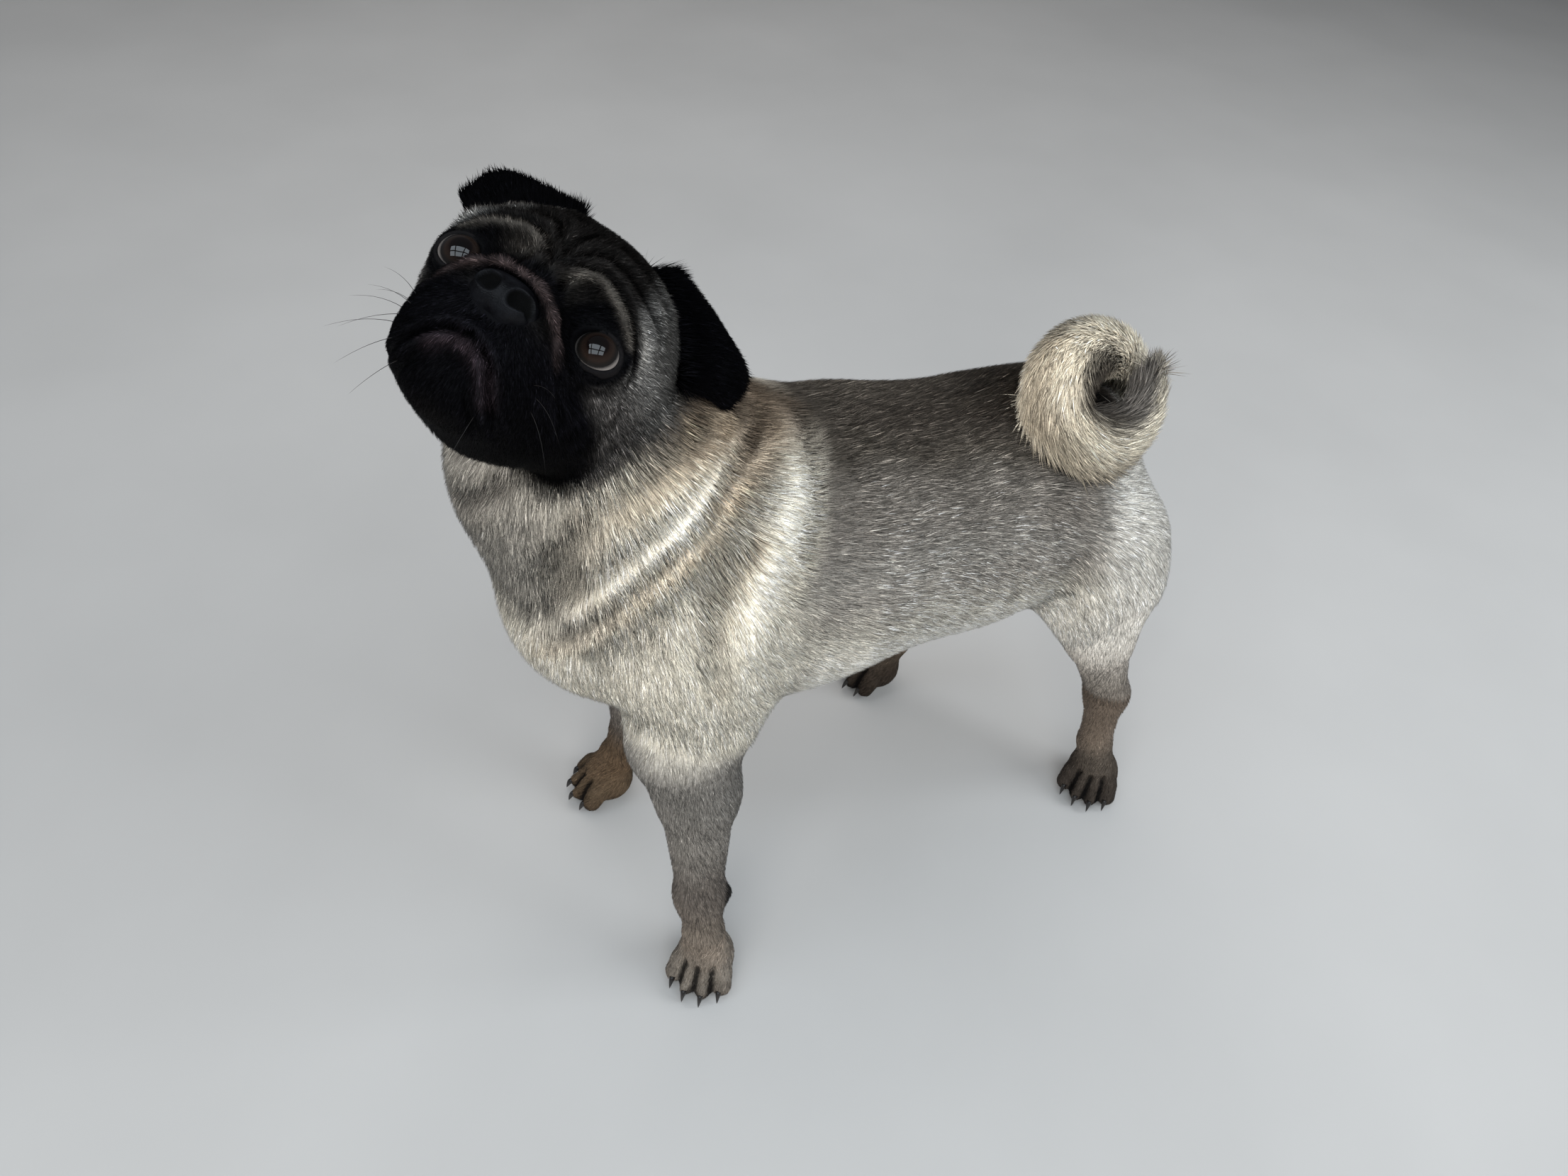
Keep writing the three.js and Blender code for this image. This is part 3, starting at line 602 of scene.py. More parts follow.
def lid_ring(side, around=80):
    """A rolled lid round an eye: at each angle a closed profile lies on the ball by the opening,
    turns over the wet margin, swells over the lid and goes home under the skin. Each of its
    points is an outward step along the face and a height over the ball."""
    a = np.linspace(0, 2 * np.pi, around, endpoint=False)
    wide, tall = LID_OPENING + 0.1
    flat = np.stack([wide * np.cos(a), np.zeros(around), tall * np.sin(a)], 1)
    flat += [OPENING_SHIFT[0], 0, OPENING_SHIFT[1]]
    margin = flat - np.outer(np.sqrt(BALL_RADIUS**2 - (flat**2).sum(1)), [0, 1, 0])
    steps = [
        (0.5, -0.7), (-0.15, -0.3), (-0.4, 0.1), (-0.35, 0.4), (-0.05, 0.6), (0.3, 0.65), (0.7, 0.55),
        (1.2, 0.2), (1.8, -0.4), (2.6, -1.3), (3.5, -2.4), (5.0, -3.9), (3.0, -3.9), (1.0, -1.6),
    ]
    ring = np.stack([margin + o * unit(flat) + f * unit(margin) for o, f in steps], 0) + EYE
    ring[..., 0] *= side
    index = np.arange(len(steps) * around).reshape(-1, around)
    onward = np.roll(index, -1, 0)
    quads = np.stack([index, onward, np.roll(onward, -1, 1), np.roll(index, -1, 1)], -1).reshape(-1, 4)
    return ring.reshape(-1, 3), (quads if side > 0 else quads[:, ::-1]).tolist()


IS_EAR, IS_LID = 1, 2
flaps = []
for shape in EARS:
    points, faces, ways = ear(*shape)
    flaps.append((from_head(points), faces, ways @ HEAD_TURN.T, IS_EAR))
for side in (1, -1):
    points, faces = lid_ring(side)
    flaps.append((from_head(points), faces, np.zeros_like(points), IS_LID))

join = bmesh.new()
join.from_mesh(skin_mesh)
for points, faces, _, _ in flaps:
    extra = bpy.data.meshes.new("flap")
    extra.from_pydata(points, [], faces)
    join.from_mesh(extra)
    bpy.data.meshes.remove(extra)
bmesh.ops.recalc_face_normals(join, faces=join.faces)
join.to_mesh(skin_mesh)
join.free()
kinds = np.concatenate([np.zeros(len(places), int)] + [np.full(len(flap[0]), flap[3]) for flap in flaps])
ear_ways = np.vstack([np.zeros_like(places)] + [flap[2] for flap in flaps])
places = np.vstack([places] + [flap[0] for flap in flaps])
skin_normals = np.zeros(3 * len(places))
skin_mesh.vertex_normals.foreach_get("vector", skin_normals)
skin_normals = skin_normals.reshape(-1, 3)

# Markings: a sable back over pale sides, a cream band and collar, a black mask and ears, and a
# cream tail. They are worked out from height, folds and named places, and skin and hair share them.
# Part of the colour is painted light and shade, each part named where it is made.
def tone(red, green, blue, gain=1.35):
    """A colour given as 0 to 255 display values of the lit coat, as a surface colour."""
    c = np.array([red, green, blue]) / 255
    linear = np.where(c < 0.04045, c / 12.92, ((c + 0.055) / 1.055) ** 2.4)
    return np.minimum(linear * gain, 0.95)


BLACK = tone(3, 3, 4)
# A slightly paler, bluer black: painted sheen on the top of the muzzle.
MASK_TOP_SHEEN = tone(5, 5, 7)
LID = tone(13, 12, 13)
FOREHEAD = tone(14, 13, 12.5)
SILVER = tone(104, 103, 101)
CREAM = tone(210, 203, 189)
# A dark brown for the painted shade in the neck creases.
BROWN_CREASE_SHADE = tone(84, 66, 50)
TAN = tone(165, 150, 129)
# Tone by level over the trunk, and by height over the fore and hind legs
TRUNK_TONES = [
    (258, (205, 200, 190)), (278, (176, 171, 161)), (297, (144, 139, 132)), (315, (132, 128, 122)),
    (332, (118, 113, 107)), (346, (108, 103, 97)), (358, (74, 69, 63)), (372, (60, 55, 50)),
    (395, (56, 50, 43)),
]
FORE_TONES = [
    (6, (78, 73, 68)), (18, (92, 87, 81)), (34, (102, 94, 86)), (60, (94, 87, 80)), (95, (80, 75, 71)),
    (145, (104, 101, 97)), (185, (94, 92, 89)), (214, (100, 98, 95)), (236, (150, 147, 141)),
    (262, (202, 198, 189)),
]
HIND_TONES = [
    (6, (42, 38, 35)), (20, (50, 45, 41)), (38, (70, 64, 58)), (56, (94, 84, 75)), (106, (80, 71, 63)),
    (109, (108, 102, 96)), (128, (116, 111, 105)), (158, (148, 143, 137)), (200, (190, 187, 181)),
    (240, (192, 189, 183)),
]
# Along each neck fold a tan zone of coat colour, and down its middle a dark brown line of painted shade in
# the crease.
NECK_SHADES = [  # name of the fold, breadth of its tan zone, how strong, and what is left at its end
    ("nape", 8, 0.9, 0.6), ("collar", 7, 0.9, 0.5), ("jaw", 4, 0.8, 0.6), ("under jaw", 7, 0.8, 1),
    ("shoulder", 6, 0.6, 0.4), ("right collar", 9, 0.8, 0.6), ("right nape", 10, 0.9, 0.6),
]
DIP = [[-10, -82, 385], [15, -85, 388], [31, -96, 387], [43, -106, 383], [53, -119, 377], [61, -131, 364]]
# The crest of each brow roll, where a painted highlight goes.
BROW_HIGHLIGHT_ARC = [
    [8.4, -13.5, 12], [11, -11, 19.5], [16, -9.2, 20.8], [22, -9.3, 19.2], [28, -8.5, 16.8], [33, -6.8, 14],
    [38, -4.3, 9.5],
]
ROLL_LINE = [
    [-26, -15, -20], [-22.4, -21, -12.3], [-16.4, -23.6, -6.1], [-9, -25.9, -1.8], [0, -25.7, 0.1],
    [8.6, -26.2, -1.1], [17.5, -23.2, -5.8], [21.6, -20.8, -9], [25, -16, -17],
]
LIP_LINE = [
    [-9, -22.6, -37], [-4.1, -22.2, -32], [0.7, -21.8, -31.4], [7.1, -22.3, -32.4], [12.9, -21.7, -36],
    [17, -18.7, -41],
]
CURL_MIDDLE = np.array([22, 121, 336])
HEAD_MIDDLE = from_head(np.array([0, 10, 0.0]))
TAIL_LINE = spline([row[:3] for row in TAIL], 80)
FOOT_MIDDLES = np.array([foot[:2] for foot in FEET.values()])
FOOT_TURNS = np.radians([foot[2] for foot in FEET.values()])


def by_level(value, tones):
    """The colour at each level, between the tones on both sides of it."""
    levels = [level for level, _ in tones]
    colours = np.array([tone(*c) for _, c in tones])
    return np.stack([np.interp(value, levels, colours[:, k]) for k in range(3)], 1)


def mix(under, over, share):
    """One colour over another by a share for each point."""
    return under + (over - under) * np.clip(share, 0, 1)[:, None]


def oval(q, centre, radii):
    """The scaled radius of points from an oval's centre, 1 on its surface."""
    return np.linalg.norm((q - np.array(centre)) / np.array(radii), axis=1)


def on_tail_line(p):
    """The number of the tail line's point that is nearest to each point."""
    return np.argmin(((p[:, None] - TAIL_LINE) ** 2).sum(2), 1)


def own_foot(p):
    """The number of the paw that is nearest to each point, seen from above."""
    return np.argmin(((p[:, None, :2] - FOOT_MIDDLES) ** 2).sum(2), 1)


def curl_side(p):
    """1 on the side of the tail that looks into its curl, -1 outside, and how far along it is."""
    i = on_tail_line(p)
    turn = (unit(p - TAIL_LINE[i]) * unit(CURL_MIDDLE - TAIL_LINE[i])).sum(1)
    return turn, i / 79


def trunk_colour(p):
    """Sable back over pale sides and belly, pale rump, and the cream band, collar and brown nape."""
    x, y, z = p.T
    blot = wander(p, 24, 3)
    colour = by_level(z + 0.27 * (y + 60) + 4 * blot, TRUNK_TONES)
    colour = mix(colour, tone(188, 185, 179), smooth(98, 135, y + 3 * blot) * smooth(335, 300, z))
    front = smooth(-8, 7, -55 - 0.75 * (371 - z) - y + 3 * blot)
    pale = smooth(402, 360, z + 0.5 * (40 - np.abs(x)) + 0.3 * (y + 90))
    colour = mix(colour, mix(tone(84, 74, 64), CREAM, pale), front * smooth(290, 325, z))
    colour = mix(colour, tone(198, 193, 181), smooth(-70, -105, y) * smooth(330, 300, z))
    beyond = p - 3.0 * unit(p - HEAD_MIDDLE)  # the hair hangs over a crease
    for name, width, strength, fade_to in NECK_SHADES:
        d, share = line_distance(NECK_FOLDS[name][2], beyond)
        strong = strength * (1 - (1 - fade_to) * smooth(0.3, 0.8, share))
        colour = mix(colour, TAN, 0.85 * strong * bell(d, width))
        colour = mix(colour, BROWN_CREASE_SHADE, 0.9 * strong * bell(d, 0.42 * width))
    # Along the dip between band and collar: paler tan coat colour, and near its upper end a dark line of
    # painted shade in the crease.
    d, share = line_distance(DIP, p)
    colour = mix(colour, tone(174, 157, 137), 0.8 * bell(d, 10) * smooth(1, 0.8, share))
    colour = mix(colour, tone(70, 59, 49), 0.95 * (1 - smooth(0.45, 0.75, share)) * bell(d, 7))
    # Painted shade on the rump under the curl of the tail, darker than the saddle.
    painted_shade_under_tail = smooth(44, 26, np.hypot(x - 20, y - 122)) * smooth(290, 315, z)
    colour = mix(colour, tone(30, 26, 23), painted_shade_under_tail)
    # The throat under the jaw is greyer: partly its own coat and partly painted shade from the head.
    throat = smooth(-155, -205, y) * smooth(290, 325, z)
    return mix(colour, tone(118, 116, 112), 0.88 * throat)


def in_foot(p):
    """How far across and forward in its own paw each point is, the paw's turn undone."""
    foot = own_foot(p)
    x, y = (p[:, :2] - FOOT_MIDDLES[foot]).T
    c, s = np.cos(FOOT_TURNS)[foot], np.sin(FOOT_TURNS)[foot]
    return x * c + y * s, x * s - y * c


def leg_colour(p):
    """Pale above, grey-brown below, tan paws that are black between the toes and by the claws."""
    x, y, z = p.T
    level = z + 4 * wander(p, 16, 14)
    colour = np.where((y < 0)[:, None], by_level(level, FORE_TONES), by_level(level, HIND_TONES))
    # Painted shade on the lower right legs, on the shaded side under the body, less on the hind one.
    far = smooth(105, 65, z) * (x < 0) * np.where(y < 0, 1, 0.4)
    colour = colour * (1 - far[:, None] * [0.38, 0.50, 0.62])
    across, forward = in_foot(p)
    web = np.min([np.abs(across - k * 10.2 * (0.6 + 0.025 * forward)) for k in (-1, 0, 1)], 0)
    dark = smooth(2.9, 0.9, web) * smooth(3, 9, forward) * smooth(27, 20, z)
    low = z + 3 * wander(p, 7, 12) - 0.25 * np.maximum(forward, 0)
    dark = np.maximum(dark, 0.9 * smooth(5, -2, low))
    for pad in CARPAL_PADS:
        dark = np.maximum(dark, smooth(1.6, 1.0, oval(p, pad, [6.5, 8, 9.5])))
    return mix(colour, BLACK, 0.92 * dark)


def tail_colour(p):
    """Cream outside, near black on the side that looks into the curl, and grey towards the tip."""
    turn, share = curl_side(p)
    dark = smooth(-0.1, 0.75, turn + 0.15 * wander(p, 8, 6)) * smooth(0.1, 0.3, share)
    inner = mix(tone(50, 46, 42), tone(84, 80, 76), smooth(0.62, 0.8, share))
    outer = mix(tone(180, 172, 157), tone(128, 118, 103), 0.7 * smooth(-0.4, -1.0, turn))
    return mix(outer, inner, np.maximum(dark, 0.8 * smooth(0.88, 0.99, share)))


def face_colour(p):
    """Silver cheeks and nape round a dark forehead, and a black mask on muzzle, chin and eyes."""
    q = to_head(p)
    x, y, z = q.T
    side = np.abs(x)
    pair = np.stack([side, y, z], 1)
    blot = wander(q, 9, 8)
    silver = smooth(34, 44, side + 0.3 * y + 0.38 * np.maximum(z - 6, 0) + 1.5 * blot) * smooth(60, 46, z)
    silver = np.maximum(silver, 0.8 * smooth(44, 62, y + 2 * blot))
    pale = mix(tone(72, 70, 69), SILVER, smooth(-10, 8, z)) * (1 - 0.5 * smooth(8, 22, z))[:, None]
    colour = mix(FOREHEAD, pale, silver)
    mask = smooth(1.3, 0.98, oval(q, [0, 8, -32], [45, 45, 23.5]) + 0.03 * blot)
    bridge = smooth(1.15, 0.85, oval(q, [0, -20, -2], [17, 14, 11]))
    # Above the mouth the mask takes the painted sheen; the chin stays black.
    colour = mix(colour, mix(BLACK, MASK_TOP_SHEEN, smooth(-36, -28, z)), np.maximum(mask, 0.8 * bridge))
    eyes = smooth(1.2, 0.9, oval(pair * [1, 0, 1], [29, 0, 1], [14, 1, 15])) * smooth(12, 5, y)
    colour = mix(colour, BLACK, eyes)
    # Painted highlight: pale grey along each brow roll's crest, and a pale patch on the right brow roll.
    colour = mix(colour, tone(64, 61, 57), 0.62 * bell(line_distance(BROW_HIGHLIGHT_ARC, pair)[0], 2.2))
    colour = mix(colour, tone(62, 58, 54), 0.5 * bell(oval(q, [-14, -11, 15], [6, 8, 5]), 1))
    colour = mix(colour, tone(36, 30, 30), 0.8 * bell(line_distance(ROLL_LINE, q)[0], 1.9))
    return mix(colour, tone(24, 20, 23), 0.9 * bell(line_distance(LIP_LINE, q)[0], 3.2))


def markings(p, kind):
    """The coat's colour at each point of the dog, with painted shade in its folds and painted light on their
    crests.
    """
    head, trunk, tail = head_skin(p), trunk_form(p), tail_form(p)
    leg = np.min([f(p) for f in leg_forms.values()], 0)
    foot = np.min([f(p) for f in paw_forms.values()], 0)
    on_leg = np.maximum(smooth(-3, 11, trunk - leg) * smooth(262, 215, p[:, 2]), smooth(4, -1, foot))
    on_tail = smooth(7, -3, tail - np.minimum(trunk, 30)) * smooth(16, 3, tail)
    on_head = smooth(9, -3, head - 0.5 * np.clip(body_form(p), 0, 24))
    colour = trunk_colour(p)
    for share, colour_of in ((on_leg, leg_colour), (on_tail, tail_colour), (on_head, face_colour)):
        some = share > 0
        colour[some] = mix(colour[some], colour_of(p[some]), share[some])
    # Painted shade and light from the folds: darker in each groove and paler on each crest, most on the head.
    shade = 1 + np.where(on_head > 0.5, 0.4, 0.07) * relief(p)
    colour = colour * np.clip(shade, 0.3, 1.7)[:, None]
    colour = np.where((kind == IS_EAR)[:, None], BLACK, colour)
    colour = np.where((kind == IS_LID)[:, None], LID, colour)
    return colour * (1 + 0.07 * wander(p, 6, 5))[:, None]


def paint(mesh, colours):
    """The markings as a colour attribute of the mesh's points."""
    layer = mesh.color_attributes.new("coat", "FLOAT_COLOR", "POINT")
    rgba = np.ones((len(colours), 4), np.float32)
    rgba[:, :3] = np.clip(colours, 0, 1)
    layer.data.foreach_set("color", rgba.ravel())


def metres(points):
    """Places of the dog's frame in the part's frame, in metres."""
    return (np.asarray(points) + SHIFT) / 1000


paint(skin_mesh, markings(places, kinds) * 0.8)
skin_mesh.vertices.foreach_set("co", metres(places).ravel())
skin_mesh.polygons.foreach_set("use_smooth", np.ones(len(skin_mesh.polygons), bool))
skin_mesh.update()


class Shade:
    """One output socket of the material being made. Arithmetic on it adds Math nodes."""

    tree = None

    def __init__(self, socket):
        self.socket = socket

    @classmethod
    def node(cls, kind, settings=None, inputs=None, output=0):
        """Adds a node: its settings first, a ramp's stops among them, then its inputs by name."""
        made = cls.tree.nodes.new(kind)
        for name, value in (settings or {}).items():
            if name == "stops":
                ramp = made.color_ramp.elements
                while len(ramp) < len(value):
                    ramp.new(1)
                for stop, (place, colour) in zip(ramp, value):
                    stop.position, stop.color = place, (*colour, 1)
            else:
                setattr(made, name, value)
        for name, value in (inputs or {}).items():
            socket = made.inputs[name]
            if isinstance(value, Shade):
                cls.tree.links.new(value.socket, socket)
            else:
                socket.default_value = value
        return cls(made.outputs[output])

    def math(self, operation, other, turned=False):
        first, second = (other, self) if turned else (self, other)
        return Shade.node("ShaderNodeMath", {"operation": operation}, {0: first, 1: second})

    def __add__(self, other):
        return self.math("ADD", other)

    __radd__ = __add__

    def __mul__(self, other):
        return self.math("MULTIPLY", other)

    __rmul__ = __mul__

    def __sub__(self, other):
        return self.math("SUBTRACT", other)

    def __rsub__(self, other):
        return self.math("SUBTRACT", other, True)


def noise(scale, detail):
    """A noise over the piece's own coordinates."""
    where = Shade.node("ShaderNodeTexCoord", output="Object")
    return Shade.node("ShaderNodeTexNoise", None, {"Vector": where, "Scale": scale, "Detail": detail})


def ramp(value, *stops):
    """The colour that a value gives, between stops of a place and a colour."""
    return Shade.node("ShaderNodeValToRGB", {"stops": stops}, {"Fac": value})


def bump(strength, distance, height):
    return Shade.node("ShaderNodeBump", None, {"Strength": strength, "Distance": distance, "Height": height})


def point_value(name):
    """A number that the mesh holds for each of its points."""
    return Shade.node("ShaderNodeAttribute", {"attribute_name": name}, output="Fac")


def material(name):
    """A new material with its principled shader and the wrapper pointed at its tree."""
    made = bpy.data.materials.new(name)
    made.use_nodes = True
    Shade.tree = made.node_tree
    return made, made.node_tree.nodes["Principled BSDF"]


def feed(shader, name, value):
    """A link or a constant for one socket of the shader."""
    if isinstance(value, Shade):
        Shade.tree.links.new(value.socket, shader.inputs[name])
    else:
        shader.inputs[name].default_value = value


def piece(name, mesh, look, slot, *nodes):
    """Puts a finished mesh in the scene, riding on the one body, and hides the solids that it stands for."""
    made = bpy.data.objects.new(name, mesh)
    bpy.context.scene.collection.objects.link(made)
    mesh.materials.clear()
    mesh.materials.append(look)
    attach(made, "root")
    if nodes:
        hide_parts(*nodes)


def hair_look(name, roughness, fine, gloss):
    """Colour from the markings, broken up by a fine grain that also roughens and lifts it."""
    made, shader = material(name)
    coat = Shade.node("ShaderNodeVertexColor", {"layer_name": "coat"})
    grain = noise(fine, 3.0)
    grey = ramp(grain, (0.3, (0.72, 0.72, 0.72)), (0.7, (1.2, 1.2, 1.2)))
    multiply = {"data_type": "RGBA", "blend_type": "MULTIPLY"}
    colour = Shade.node("ShaderNodeMix", multiply, {"Factor": 1.0, "A": coat, "B": grey}, 2)
    feed(shader, "Base Color", colour)
    feed(shader, "Roughness", roughness + 0.2 * (grain - 0.5))
    feed(shader, "Normal", bump(0.35, 0.0006, grain))
    feed(shader, "Specular IOR Level", gloss)
    return made


FLESH = [
    "head", "neck", "chest", "barrel", "rump", "foreleg_left", "foreleg_right", "forepaw_left",
    "forepaw_right", "hindleg_left", "hindleg_right", "hindpaw_left", "hindpaw_right",
    "tail_base", "tail_middle", "tail_tip", "ear_left", "ear_right",
]
piece("skin", skin_mesh, hair_look("short_coat_over_skin", 0.7, 900.0, 0.08), "fawn_fur", *FLESH)

# Eyes: glossy brown balls with a bulging cornea, a rim of white showing below. Each is a whole
# ball, set in the socket behind the rolled lids.
GAZE = unit(np.array([0.03, -1.0, 0.10]))  # both eyes look the same way, up to the viewer
IRIS_ANGLE = 41.0  # degrees from the gaze to the edge of the iris
BULGE = 0.9


def eyeball(side, rows=64, columns=96):
    """A ball round the gaze, its radius swollen by the bulge over the cornea. Also each point's
    angle from the gaze in degrees, and its turn about the gaze."""
    angle = np.linspace(0, np.pi, rows)
    around = np.linspace(0, 2 * np.pi, columns, endpoint=False)
    radius = BALL_RADIUS + BULGE * smooth(math.radians(IRIS_ANGLE + 6), math.radians(8), angle)
    right = unit(np.cross(GAZE, [0, 0, 1]))
    up = np.cross(right, GAZE)
    ring = np.cos(around)[None, :, None] * right + np.sin(around)[None, :, None] * up
    way = np.cos(angle)[:, None, None] * GAZE + np.sin(angle)[:, None, None] * ring
    points = (way * radius[:, None, None])[1:-1].reshape(-1, 3)
    points = np.vstack([points, GAZE * radius[0], -GAZE * radius[-1]]) + EYE * [side, 1, 1]
    index, quads = sleeve(rows - 2, columns)
    faces = [face[::-1] for face in quads + fan(index.size + 1, index[-1])] + fan(index.size, index[0])
    degrees = np.append(np.repeat(np.degrees(angle[1:-1]), columns), [0, 180])
    turns = np.append(np.tile(around, rows - 2), [0, 0])
    return points, faces, degrees, turns


def mesh_of(name, points, faces):
    """A smooth mesh from points in the dog's frame and faces, in metres in the part's frame."""
    made = bpy.data.meshes.new(name)
    made.from_pydata(metres(points), [], faces)
    made.polygons.foreach_set("use_smooth", np.ones(len(made.polygons), bool))
    made.update()
    return made


def numbers(mesh, name, values):
    """One number for each point of a mesh, for its material."""
    layer = mesh.attributes.new(name, "FLOAT", "POINT")
    layer.data.foreach_set("value", np.asarray(values, np.float32))


def eye_look():
    """Pupil, iris and white by the angle from the gaze, with fine spokes in the iris, under a
    clear wet coat."""
    made, shader = material("eye_glass")
    angle = point_value("gaze_angle")
    spot = Shade.node("ShaderNodeCombineXYZ", None, {"X": point_value("gaze_turn") * 9.0, "Y": angle * 0.06})
    spokes = Shade.node("ShaderNodeTexNoise", None, {"Vector": spot, "Scale": 2.2, "Detail": 4.0})
    colour = ramp(
        (angle + 3.0 * (spokes - 0.5)) * (1 / 90),
        (0.0, (0.002, 0.002, 0.002)),
        (19 / 90, (0.003, 0.002, 0.002)),
        (23 / 90, (0.008, 0.005, 0.004)),
        (31 / 90, (0.012, 0.008, 0.0065)),
        (38 / 90, (0.007, 0.006, 0.0055)),
        (43 / 90, (0.007, 0.0065, 0.0065)),
        (49 / 90, (0.11, 0.10, 0.095)),
        (62 / 90, (0.09, 0.075, 0.07)),
    )
    feed(shader, "Base Color", colour)
    feed(shader, "Roughness", 0.3)
    feed(shader, "Specular IOR Level", 0.0)
    feed(shader, "Coat Weight", 1.0)
    feed(shader, "Coat Roughness", 0.015)
    return made


look = eye_look()
for side, name in ((1, "eye_left"), (-1, "eye_right")):
    points, faces, degrees, turns = eyeball(side)
    mesh = mesh_of(name + "_ball", from_head(points), faces)
    numbers(mesh, "gaze_angle", degrees)
    numbers(mesh, "gaze_turn", turns)
    piece(name + "_ball", mesh, look, "eye", name)

# Nose: black pebbled leather, a low oval pad with two round wings. Two comma nostrils hollow it
# and a groove parts them, and it is set in the end of the muzzle.
NOSE_MIDDLE = np.array([0, -19.5, -10.0])
plain_pad = blend([ellipsoid([0, -20.5, -10], [12.2, 7.8, 8.4]), *both([6.2, -22.5, -11], [6, 6.2, 6.2])], 4)
pad = plain_pad
for s in (1, -1):
    for hole in chain([
        [4.9 * s, -30, -10.8, 2.9], [6.2 * s, -28.5, -9.4, 3.5], [8.9 * s, -27, -8.9, 2.4],
        [12.5 * s, -24, -12, 1.1],
    ]):
        pad = carve(pad, hole, 1.2)
pad = carve(pad, limb([0, -30.2, -6, 0.7], [0, -30.0, -19, 0.9]), 1.6)


def cast_out(field, centre, ways, reach=24, steps=60):
    """Where rays from an inner point first leave a field, by even steps and then by halving."""
    near_at = np.zeros(len(ways))
    found = np.zeros(len(ways), bool)
    for k in range(1, steps + 1):
        t = reach * k / steps
        found |= field(centre + t * ways) > 0
        near_at = np.where(found, near_at, t)
    far_at = near_at + reach / steps
    for _ in range(12):
        middle = (near_at + far_at) / 2
        out = field(centre + middle[:, None] * ways) > 0
        far_at = np.where(out, middle, far_at)
        near_at = np.where(out, near_at, middle)
    return centre + near_at[:, None] * ways


def dome(rows, columns):
    """Directions of a sphere grid about -Y, its two poles last, and its faces."""
    angle = np.linspace(0, np.pi, rows + 2)[1:-1]
    around = np.linspace(0, 2 * np.pi, columns, endpoint=False)
    x = np.outer(np.sin(angle), np.cos(around))
    z = np.outer(np.sin(angle), np.sin(around))
    y = -np.outer(np.cos(angle), np.ones(columns))
    ways = np.vstack([np.stack([x, y, z], -1).reshape(-1, 3), [[0, -1, 0], [0, 1, 0]]])
    index, faces = sleeve(rows, columns)
    faces += [face[::-1] for face in fan(index.size, index[0])] + fan(index.size + 1, index[-1])
    return ways, faces


def leather_look():
    """Near-black leather: cells for the pebbles, a wet gloss that varies, and painted shade in the hollows.
    """
    made, shader = material("nose_leather")
    where = Shade.node("ShaderNodeTexCoord", output="Object")
    cells = Shade.node(
        "ShaderNodeTexVoronoi", {"feature": "DISTANCE_TO_EDGE"}, {"Vector": where, "Scale": 1100.0}
    )
    broad = noise(180.0, 3.0)
    hollow = point_value("hollow")
    open_colour = ramp(broad, (0.3, (0.0014, 0.0014, 0.0018)), (0.75, (0.0055, 0.006, 0.0075)))
    # Painted shade: the nostrils and the groove between them turn black with their depth.
    painted_hollow_shade = {"Factor": hollow, "A": open_colour, "B": (0.001, 0.001, 0.001, 1)}
    feed(shader, "Base Color", Shade.node("ShaderNodeMix", {"data_type": "RGBA"}, painted_hollow_shade, 2))
    feed(shader, "Roughness", 0.36 + 0.3 * (broad - 0.3) + 0.5 * hollow)
    feed(shader, "Normal", bump(0.5, 0.00035, cells))
    feed(shader, "Specular IOR Level", 0.1)
    return made


ways, faces = dome(110, 160)
points = cast_out(pad, NOSE_MIDDLE, ways)
sunk = np.linalg.norm(cast_out(plain_pad, NOSE_MIDDLE, ways) - points, axis=1)
nose_mesh = mesh_of("nose_leather_pad", from_head(points), faces)
numbers(nose_mesh, "hollow", smooth(0.3, 1.8, sunk))
piece("nose_leather_pad", nose_mesh, leather_look(), "nose_leather", "nose")

# Claws: sixteen short claws of black horn, one curved down from the end of each toe. They are
# one piece, each a closed cone with its root sunk in the toe.
def claw(root, tip, rows=10, columns=10):
    """A cone along an arc from root to tip, of radius 2.4 (1 - t^2) + 0.15, narrower than tall."""
    a, b = np.array(root, float), np.array(tip, float)
    t = np.linspace(0, 1, rows)[:-1]
    line = a + np.outer(t, b - a)
    line[:, 2] += 2.0 * np.sin(np.pi * t)
    radius = 2.4 * (1 - t**2) + 0.15
    around = np.linspace(0, 2 * np.pi, columns, endpoint=False)
    along = unit(b - a)
    side = unit(np.cross(along, [0, 0, 1]))
    ring = 0.75 * np.cos(around)[:, None] * side + np.sin(around)[:, None] * np.cross(side, along)
    points = (line[:, None] + radius[:, None, None] * ring).reshape(-1, 3)
    index, faces = sleeve(rows - 1, columns)
    faces += fan(index.size, index[0, ::-1]) + fan(index.size + 1, index[-1])
    return np.vstack([points, [a - along], [b]]), faces


def joined(name, many):
    """Several point and face lists as one mesh, its faces turned outward."""
    points, faces, start = [], [], 0
    for p, f in many:
        points.append(p)
        faces += [[start + i for i in face] for face in f]
        start += len(p)
    made = mesh_of(name, np.vstack(points), faces)
    build = bmesh.new()
    build.from_mesh(made)
    bmesh.ops.recalc_face_normals(build, faces=build.faces)
    build.to_mesh(made)
    build.free()
    return made


def horn_look():
    """Dark horn with faint growth rings and a dull polish."""
    made, shader = material("claw_horn")
    rings = noise(700.0, 2.0)
    feed(shader, "Base Color", ramp(rings, (0.35, (0.006, 0.005, 0.005)), (0.8, (0.02, 0.018, 0.016))))
    feed(shader, "Roughness", 0.3 + 0.2 * rings)
    feed(shader, "Normal", bump(0.2, 0.0002, rings))
    return made


